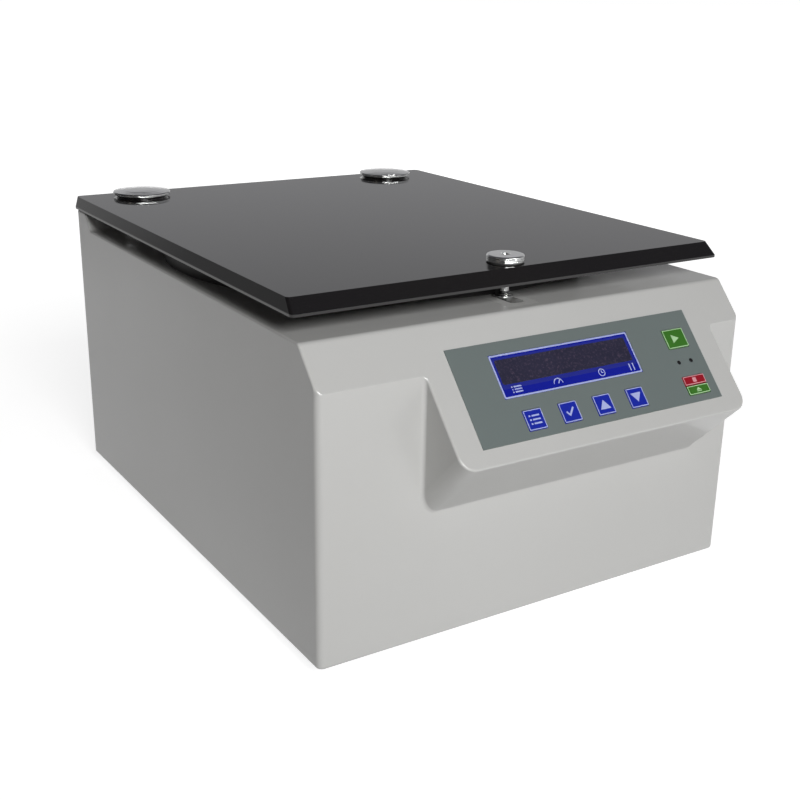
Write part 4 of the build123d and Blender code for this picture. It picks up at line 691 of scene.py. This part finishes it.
def flat_piece(name, outlines, place, finish, body, height=0.0, thickness=INK):
    """A plate cut to closed outlines in millimetres, at a height above the face at place."""
    curve = bpy.data.curves.new(name, "CURVE")
    curve.dimensions = "2D"
    curve.fill_mode = "BOTH"
    curve.extrude = thickness / 2
    for outline in outlines:
        spline = curve.splines.new("POLY")
        spline.points.add(len(outline) - 1)
        for point, (x, y) in zip(spline.points, outline):
            point.co = (x * MM, y * MM, 0, 1)
        spline.use_cyclic_u = True
    drawn = bpy.data.objects.new(name, curve)
    mesh = bpy.data.meshes.new_from_object(drawn)
    bpy.data.objects.remove(drawn)
    bpy.data.curves.remove(curve)
    mesh.name = name
    mesh.transform(place @ Matrix.Translation((0, 0, height + thickness / 2)))
    return dress(mesh, name, finish, body)


print("ink is", round(INK / MM, 2), "mm thick")

# %% [markdown]
# Turned pieces, such as screws, are a profile swept round an axis. A profile
# point may ask for a hexagon instead of a circle, which makes a key socket.

# %% Turned pieces
def ring_point(turn, radius, height, sides):
    """A point of a ring round the z axis; a ring has corners if it has sides."""
    reach = radius
    if sides:
        wedge = 2 * math.pi / sides
        reach = radius * math.cos(wedge / 2) / math.cos(turn % wedge - wedge / 2)
    return Vector((reach * math.cos(turn), reach * math.sin(turn), height))


def turned_piece(name, profile, places, finish, body, steps=24):
    """A profile of (radius, height, sides) points swept round the z axis of each place."""
    form = bmesh.new()
    for place in places:
        rings = []
        for radius, height, sides in profile:
            turns = [2 * math.pi * step / steps for step in range(steps)]
            points = [ring_point(turn, radius, height, sides) for turn in turns]
            rings.append([form.verts.new(place @ point) for point in points])
        for low, high in zip(rings, rings[1:]):
            for step in range(steps):
                form.faces.new((low[step], low[step - 1], high[step - 1], high[step]))
        form.faces.new(rings[0])
        form.faces.new(reversed(rings[-1]))
    bmesh.ops.recalc_face_normals(form, faces=form.faces)
    mesh = bpy.data.meshes.new(name)
    form.to_mesh(mesh)
    form.free()
    return dress(mesh, name, finish, body)


print("turned pieces ready")

# %% [markdown]
# Outlines are lists of points, in millimetres. Rounded rectangles, rings,
# triangles and bars cover nearly every symbol here. A frame is a rounded
# rectangle with a smaller one inside it, because an inner outline cuts a hole.

# %% Round outlines
def rounded(width, height, radius, center=(0, 0), steps=5):
    """A rectangle with round corners."""
    points = []
    for corner, (sx, sy) in enumerate(((1, 1), (-1, 1), (-1, -1), (1, -1))):
        for step in range(steps + 1):
            turn = math.pi / 2 * (corner + step / steps)
            points.append((center[0] + sx * (width / 2 - radius) + radius * math.cos(turn),
                           center[1] + sy * (height / 2 - radius) + radius * math.sin(turn)))
    return points


def framed(width, height, radius, band):
    """A rounded rectangle with a smaller one inside it."""
    return [rounded(width, height, radius), rounded(width - 2 * band, height - 2 * band, radius / 2)]


def circle(radius, center=(0, 0), sweep=2 * math.pi, steps=32):
    """Points along a circle, or along part of one from its right side on."""
    count = steps if sweep >= 2 * math.pi else steps + 1
    turns = [sweep * step / steps for step in range(count)]
    return [(center[0] + radius * math.cos(turn), center[1] + radius * math.sin(turn)) for turn in turns]


def arc_band(outer, inner, sweep):
    """A curved band, closed at both ends."""
    return circle(outer, sweep=sweep) + circle(inner, sweep=sweep)[::-1]


print("a rounded rectangle has", len(rounded(1, 1, 0.2)), "points")

# %% Straight outlines
def bar(length, width, center=(0, 0), angle=0.0):
    """A straight bar at an angle."""
    c, s = math.cos(angle), math.sin(angle)
    corners = ((-length, -width), (length, -width), (length, width), (-length, width))
    return [(center[0] + (x * c - y * s) / 2, center[1] + (x * s + y * c) / 2) for x, y in corners]


def triangle(width, height, angle=0.0, center=(0, 0)):
    """A triangle that points up, turned by an angle."""
    c, s = math.cos(angle), math.sin(angle)
    corners = ((-width / 2, -height / 2), (width / 2, -height / 2), (0, height / 2))
    return [(center[0] + x * c - y * s, center[1] + x * s + y * c) for x, y in corners]


def list_lines(pitch, width, dot, gap, x=0.0):
    """Three lines, each with a dot before it, as on a list."""
    line = 6.2
    rows = (-pitch, 0, pitch)
    return [bar(line, width, (x, row)) for row in rows] + [bar(dot, width, (x - gap, row)) for row in rows]


print("a bar has", len(bar(1, 1)), "points, a triangle", len(triangle(1, 1)))

# %% [markdown]
# A print has to lie exactly on a face of a CAD part. The faces of its mesh are
# gathered by plane, and the plane that looks the asked way best among the large
# ones is taken. Its middle, its normal and a level x axis make the place.

# %% Find a face to print on
LARGE_SHARE = 0.25


def face_place(part_name, toward):
    """A matrix on a large flat face: origin in its middle, x level, z outward."""
    toward = Vector(toward).normalized()
    planes = {}
    mesh = nodes[part_name].data
    for polygon in mesh.polygons:
        facing = tuple(round(value, 2) for value in polygon.normal)
        key = facing + (round(polygon.center.dot(polygon.normal), 4),)
        planes.setdefault(key, []).append(polygon)
    areas = {key: sum(polygon.area for polygon in group) for key, group in planes.items()}
    large = [key for key in planes if areas[key] > LARGE_SHARE * max(areas.values())]
    chosen = planes[max(large, key=lambda key: Vector(key[:3]).dot(toward))]
    normal = chosen[0].normal.normalized()
    level = Vector((0, 0, 1)).cross(normal)
    level = level.normalized() if level.length > 0.01 else Vector((1, 0, 0))
    slope = normal.cross(level)
    corners = [mesh.vertices[index].co for polygon in chosen for index in polygon.vertices]
    middle = normal * corners[0].dot(normal)
    for axis in (level, slope):
        reaches = [corner.dot(axis) for corner in corners]
        middle += axis * (min(reaches) + max(reaches)) / 2
    return Matrix.Translation(middle) @ Matrix((level, slope, normal)).transposed().to_4x4()


panel_out = (0, -0.74, 0.67)
window_place = face_place("display_window", panel_out)
print("window middle", [round(value, 4) for value in window_place.translation])

# %% [markdown]
# ## Finishes of the small pieces
# Screen ink is flat and slightly rough. Card is matte and a little uneven. The
# plating of the mains pins is bright and slightly warm.

# %% Inks, card and plating
for ink, color in (("pale_ink", (0.42, 0.47, 0.78)), ("green_ink", (0.42, 0.66, 0.36)),
                   ("pink_ink", (0.70, 0.32, 0.36)), ("black_ink", (0.02, 0.02, 0.022)),
                   ("white_ink", (0.75, 0.75, 0.73))):
    layered(ink, color, tuple(channel * 0.93 for channel in color), 0.45, tone_scale=120.0,
            grain_scale=3000.0, bump=0.08, wear=0.0, dust=0.02)
layered("display_rim", (0.022, 0.030, 0.30), (0.014, 0.020, 0.22), 0.2, tone_scale=60.0,
        grain_scale=1800.0, bump=0.04, wear=0.0, dust=0.03)
layered("card", (0.72, 0.71, 0.66), (0.66, 0.65, 0.60), 0.85, tone_scale=200.0, grain_scale=2200.0,
        bump=0.4, wear=0.0, dust=0.0)
solid_metal("pin_metal", (0.66, 0.62, 0.52), 0.25, grain_scale=1500.0, bump=0.05, dust=0.02)
print("inks:", ", ".join(name for name in finishes if "ink" in name))

# %% [markdown]
# The unlit display is a dark pane with fine specks that are a little lighter.
# A noise that is cut off hard makes the specks, over the slow tone.

# %% Dark display
DISPLAY_ROUGHNESS = 0.3
LIGHTER_START, LIGHTER_FULL = 0.52, 0.72
speck_color = (0.085, 0.062, 0.10, 1)
display, display_tree, display_shader = start_material("dark_display", (0.04, 0.032, 0.05), DISPLAY_ROUGHNESS)
display_tone = use_group(display_tree, tone_group, Color=(0.014, 0.014, 0.032, 1),
                         Second_Color=(0.028, 0.026, 0.054, 1), Scale=45.0, Roughness=DISPLAY_ROUGHNESS)
display_noise = noise(display_tree, 620.0, Detail=3.0, Roughness=0.7)
display_specks = map_range(display_tree, display_noise, LIGHTER_START, LIGHTER_FULL)
display_color = mix_colors(display_tree, display_specks, display_tone.outputs["Color"], speck_color)
join(display_tree, display_color, display_shader.inputs["Base Color"])
join(display_tree, display_tone.outputs["Roughness"], display_shader.inputs["Roughness"])
add_relief(display_tree, display_shader, display_noise, 0.1, 0.0001)
finishes["dark_display"] = display
print("finishes in all:", len(finishes))

# %% [markdown]
# ## Print on the window
# A pale line runs round the blue window. The display behind it shows as a dark
# pane with a lighter blue rim. Below it stand four plain marks: a list for the
# programme, a gauge for the speed, a clock for the time, and two strokes.

# %% Line and display pane
flat_piece("window_line", framed(119.6, 31.4, 1.2, 1.1), window_place, "pale_ink", "case")
flat_piece("display_rim", [rounded(116.0, 22.6, 1.0, (-0.3, 2.2))], window_place, "display_rim", "case",
           thickness=INK / 2)
flat_piece("display_pane", [rounded(112.6, 18.0, 1.6, (-0.6, 3.0))], window_place, "dark_display", "case",
           height=INK / 2)
print("window line and display done")

# %% Marks under the display
upright = math.pi / 2
gauge = [arc_band(4.0, 3.3, math.pi), bar(3.6, 0.7, (1.0, 1.4), 0.95)]
clock = [circle(2.9), circle(2.25), bar(1.9, 0.6, (0, 0.7), upright), bar(1.5, 0.6, (0.6, -0.2))]
strokes = [bar(5.4, 0.9, (x, 0), upright) for x in (-1.6, 1.6)]
window_marks = (  # name, outlines, and where the middle of the mark is
    ("list_mark", list_lines(1.9, 0.9, 1.0, 4.6), -46.6, -10.2),
    ("gauge_mark", gauge, -13.6, -12.0),
    ("clock_mark", clock, 24.9, -10.4),
    ("stroke_mark", strokes, 52.2, -10.6),
)
for mark_name, mark, x, y in window_marks:
    mark_place = window_place @ Matrix.Translation((x * MM, y * MM, 0))
    flat_piece(mark_name, mark, mark_place, "pale_ink", "case")
print(len(window_marks), "marks on the window")

# %% [markdown]
# ## Print on the keys
# Each key has a pale line along its edge and a symbol in the middle. The
# symbols are the usual ones: a list, a tick, arrows up and down, a triangle to
# start, a square to stop, and the eject mark for the lid. They ride on the key,
# so they move when it is pressed.

# %% Key print
KEY_MARGIN = 0.25
KEY_LINE = 0.6
tick = [[(-3.6, -0.2), (-2.7, 0.9), (-1.0, -1.1), (3.0, 3.4), (3.9, 2.5), (-1.0, -3.2)]]
eject = [triangle(4.6, 2.2, center=(0, 0.6)), bar(4.6, 0.7, (0, -1.3))]
key_print = (  # key, symbol, ink, height of the line round the face
    ("key_program", list_lines(2.8, 1.1, 1.3, 4.9, x=1.3), "pale_ink", 14.0),
    ("key_select", tick, "pale_ink", 14.0),
    ("key_up", [triangle(9.2, 6.8)], "pale_ink", 14.0),
    ("key_down", [triangle(9.2, 6.8, math.pi)], "pale_ink", 14.0),
    ("key_start", [triangle(6.6, 6.4, -math.pi / 2)], "green_ink", 14.5),
    ("key_stop", [bar(3.4, 3.4)], "pink_ink", 6.4),
    ("key_open", eject, "green_ink", 6.4),
)
for key_name, symbol, ink, line_height in key_print:
    low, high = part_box(key_name)
    key_place = face_place(key_name, panel_out)
    line_width = (high.x - low.x) / MM - 2 * KEY_MARGIN
    line = framed(line_width, line_height, KEY_LINE, KEY_LINE)
    flat_piece(f"{key_name}_line", line, key_place, ink, key_name)
    flat_piece(f"{key_name}_symbol", symbol, key_place, ink, key_name)
    print(key_name, "line", round(line_width, 1), "x", line_height, "mm")

# %% [markdown]
# ## Rear switch and mains inlet
# The rocker carries the two usual marks, a stroke for on and a ring for off.
# The three pins of the inlet are nickel-plated blades that narrow towards the
# tip, and are set over the plain pegs of the CAD model.

# %% Switch marks
on_place = face_place("power_rocker", (0, 1, 0.4))
off_place = face_place("power_rocker", (0, 1, -0.4))
flat_piece("rocker_on_mark", [bar(3.6, 0.7, angle=upright)], on_place, "white_ink", "rocker")
flat_piece("rocker_off_mark", [circle(1.9), circle(1.3)], off_place, "white_ink", "rocker")
print("rocker marks at z", round(on_place.translation.z, 3), "and", round(off_place.translation.z, 3))

# %% Mains pins
PIN_ROOT = (2.15, 4.15, 16.8)  # width, height, and how far in from the rear, in millimetres
PIN_TIP = (1.3, 3.2, 5.2)
pin_places = ((0, 2), (-7, -2), (7, -2))
PIN_BEVEL = 0.25 * MM
PIN_RISE = 6.0 * MM
inlet_low, inlet_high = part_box("power_inlet")
inlet_x = (inlet_low.x + inlet_high.x) / 2
pin_z = (inlet_low.z + inlet_high.z) / 2 + PIN_RISE
pin_form = bmesh.new()
for x, z in pin_places:
    made = bmesh.ops.create_cube(pin_form, size=1.0)["verts"]
    for vert in made:
        width, height, depth = PIN_TIP if vert.co.y > 0 else PIN_ROOT
        vert.co.x = inlet_x + (x + vert.co.x * width) * MM
        vert.co.z = pin_z + (z + vert.co.z * height) * MM
        vert.co.y = inlet_high.y - depth * MM
    lengthwise = [edge for edge in pin_form.edges
                  if edge.verts[0] in made and abs(edge.verts[0].co.y - edge.verts[1].co.y) > MM]
    bmesh.ops.bevel(pin_form, geom=lengthwise, offset=PIN_BEVEL, segments=2, affect="EDGES")
pin_mesh = bpy.data.meshes.new("mains_pins")
pin_form.to_mesh(pin_mesh)
pin_form.free()
dress(pin_mesh, "mains_pins", "pin_metal", "case")
print("inlet at x", round(inlet_x, 3), "pins at z", round(pin_z, 3))

# %% [markdown]
# ## Screws
# Plain pegs stand for the screws in CAD. Real ones have a domed head with a
# hexagon socket and a threaded shank. One profile makes them, with its sizes
# in millimetres: a hexagon ring in it makes the socket, and a row of narrow
# rings stands for the thread.

# %% Profile of a screw
HEAD_RADIUS = 4.0
HEAD_HEIGHT = 2.2
SOCKET_RADIUS = 1.25
SOCKET_FLOOR_RADIUS = 1.2
SHANK_RADIUS = 1.98
TIP_TAPER = 0.5
THREAD_PITCH = 0.8
THREAD_DEPTH = 0.3
CREST, GROOVE = 0.05, 0.45
HEXAGON = 6


def screw_profile(shank_length):
    """From the bottom of the socket, over the head, to the end of the shank."""
    points = [(SOCKET_FLOOR_RADIUS, -HEAD_HEIGHT * 0.25, HEXAGON), (SOCKET_RADIUS, -HEAD_HEIGHT, HEXAGON),
              (HEAD_RADIUS * 0.62, -HEAD_HEIGHT, 0), (HEAD_RADIUS * 0.9, -HEAD_HEIGHT * 0.75, 0),
              (HEAD_RADIUS, -HEAD_HEIGHT * 0.3, 0), (HEAD_RADIUS, 0, 0)]
    for turn in range(int(shank_length / THREAD_PITCH)):
        points.append((SHANK_RADIUS, turn * THREAD_PITCH + CREST, 0))
        points.append((SHANK_RADIUS - THREAD_DEPTH, turn * THREAD_PITCH + GROOVE, 0))
    points.append((SHANK_RADIUS - TIP_TAPER, shank_length, 0))
    return [(radius * MM, height * MM, sides) for radius, height, sides in points]


print("a 10 mm screw has", len(screw_profile(10)), "rings")

# %% [markdown]
# The base plate is held by three screws along each side, from below. Each
# hinge bracket has four, driven in from behind.

# %% Screws under the base
BASE_SHANK = 13.9
head = HEAD_RADIUS * MM
base_low, base_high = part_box("base_screws")
plate_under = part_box("base_plate")[0].z
base_places = [Matrix.Translation((x, y, plate_under))
               for x in (base_low.x + head, base_high.x - head)
               for y in (base_low.y + head, (base_low.y + base_high.y) / 2, base_high.y - head)]
base_screws = turned_piece("base_screw_set", screw_profile(BASE_SHANK), base_places, "screw_steel", "case")
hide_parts("base_screws")
print(len(base_places), "base screws")

# %% Screws in the hinge brackets
BRACKET_SHANK = 1.9
BRACKET_SPACING = 20 * MM
leaf_low, leaf_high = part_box("bracket_screws")
turn_in = Matrix.Rotation(math.pi / 2, 4, "X")
head_seat = leaf_high.y - HEAD_HEIGHT * MM
bracket_places = [Matrix.Translation((side * x, head_seat, z)) @ turn_in
                  for side in (-1, 1) for x in (leaf_high.x - head, leaf_high.x - head - BRACKET_SPACING)
                  for z in (leaf_low.z + head, leaf_high.z - head)]
bracket_profile = screw_profile(BRACKET_SHANK)
bracket_screws = turned_piece("bracket_screw_set", bracket_profile, bracket_places, "screw_steel", "case")
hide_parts("bracket_screws")
print(len(bracket_places), "bracket screws")

# %% [markdown]
# ## In the chamber
# A filter card with a round hole sits between each funnel and its slide, and
# soaks up the fluid round the spun cells. Plain numbers on the rotor plate name
# the four stations.

# %% Filter cards
CARD_WIDTH = 24.6
CARD_HEIGHT = 43.4
CARD_RISE = 8.5
CARD_THICKNESS = 0.22 * MM
CARD_GAP = 0.04 * MM
HOLE_RADIUS = 3.6
HOLE_RISE = 1.0
STATIONS = (1, 2, 3, 4)
card = [rounded(CARD_WIDTH, CARD_HEIGHT, 1.0, (0, CARD_RISE)), circle(HOLE_RADIUS, (0, HOLE_RISE))]
for station in STATIONS:
    slide_low, slide_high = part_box(f"glass_slide_{station}")
    funnel_low, funnel_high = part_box(f"sample_funnel_{station}")
    inward = (funnel_low + funnel_high - slide_low - slide_high) / 2
    inward.z = 0
    card_place = face_place(f"glass_slide_{station}", inward)
    flat_piece(f"filter_card_{station}", card, card_place, "card", f"holder_{station}",
               height=CARD_GAP, thickness=CARD_THICKNESS)
print("cards are", CARD_WIDTH, "x", CARD_HEIGHT, "mm")

# %% Station numbers
NUMBER_SIZE = 13 * MM
NUMBER_RADIUS = 38 * MM
NUMBER_BOLDNESS = 0.25 * MM
NUMBER_RISE = 0.05 * MM
FIRST_ANGLE = 45
head_low, head_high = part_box("rotor_head")
spindle = (head_low + head_high) / 2
plate_top = face_place("rotor_head", (0, 0, 1)).translation.z
quarter_turn = Matrix.Rotation(math.pi / 2, 4, "Z")
for station in STATIONS:
    numeral = bpy.data.curves.new("number", "FONT")
    numeral.body = str(station)
    numeral.size = NUMBER_SIZE
    numeral.offset = NUMBER_BOLDNESS
    numeral.extrude = NUMBER_RISE
    numeral.align_x = "CENTER"
    numeral.align_y = "CENTER"
    drawn = bpy.data.objects.new("number", numeral)
    number = bpy.data.meshes.new_from_object(drawn)
    bpy.data.objects.remove(drawn)
    turn = Matrix.Rotation(math.radians(FIRST_ANGLE + 90 * (station - 1)), 4, "Z")
    outward = Matrix.Translation((NUMBER_RADIUS, 0, NUMBER_RISE))
    number.transform(Matrix.Translation((spindle.x, spindle.y, plate_top)) @ turn @ outward @ quarter_turn)
    dress(number, f"station_number_{station}", "black_ink", "rotor")
print("rotor plate top at", round(plate_top, 4))
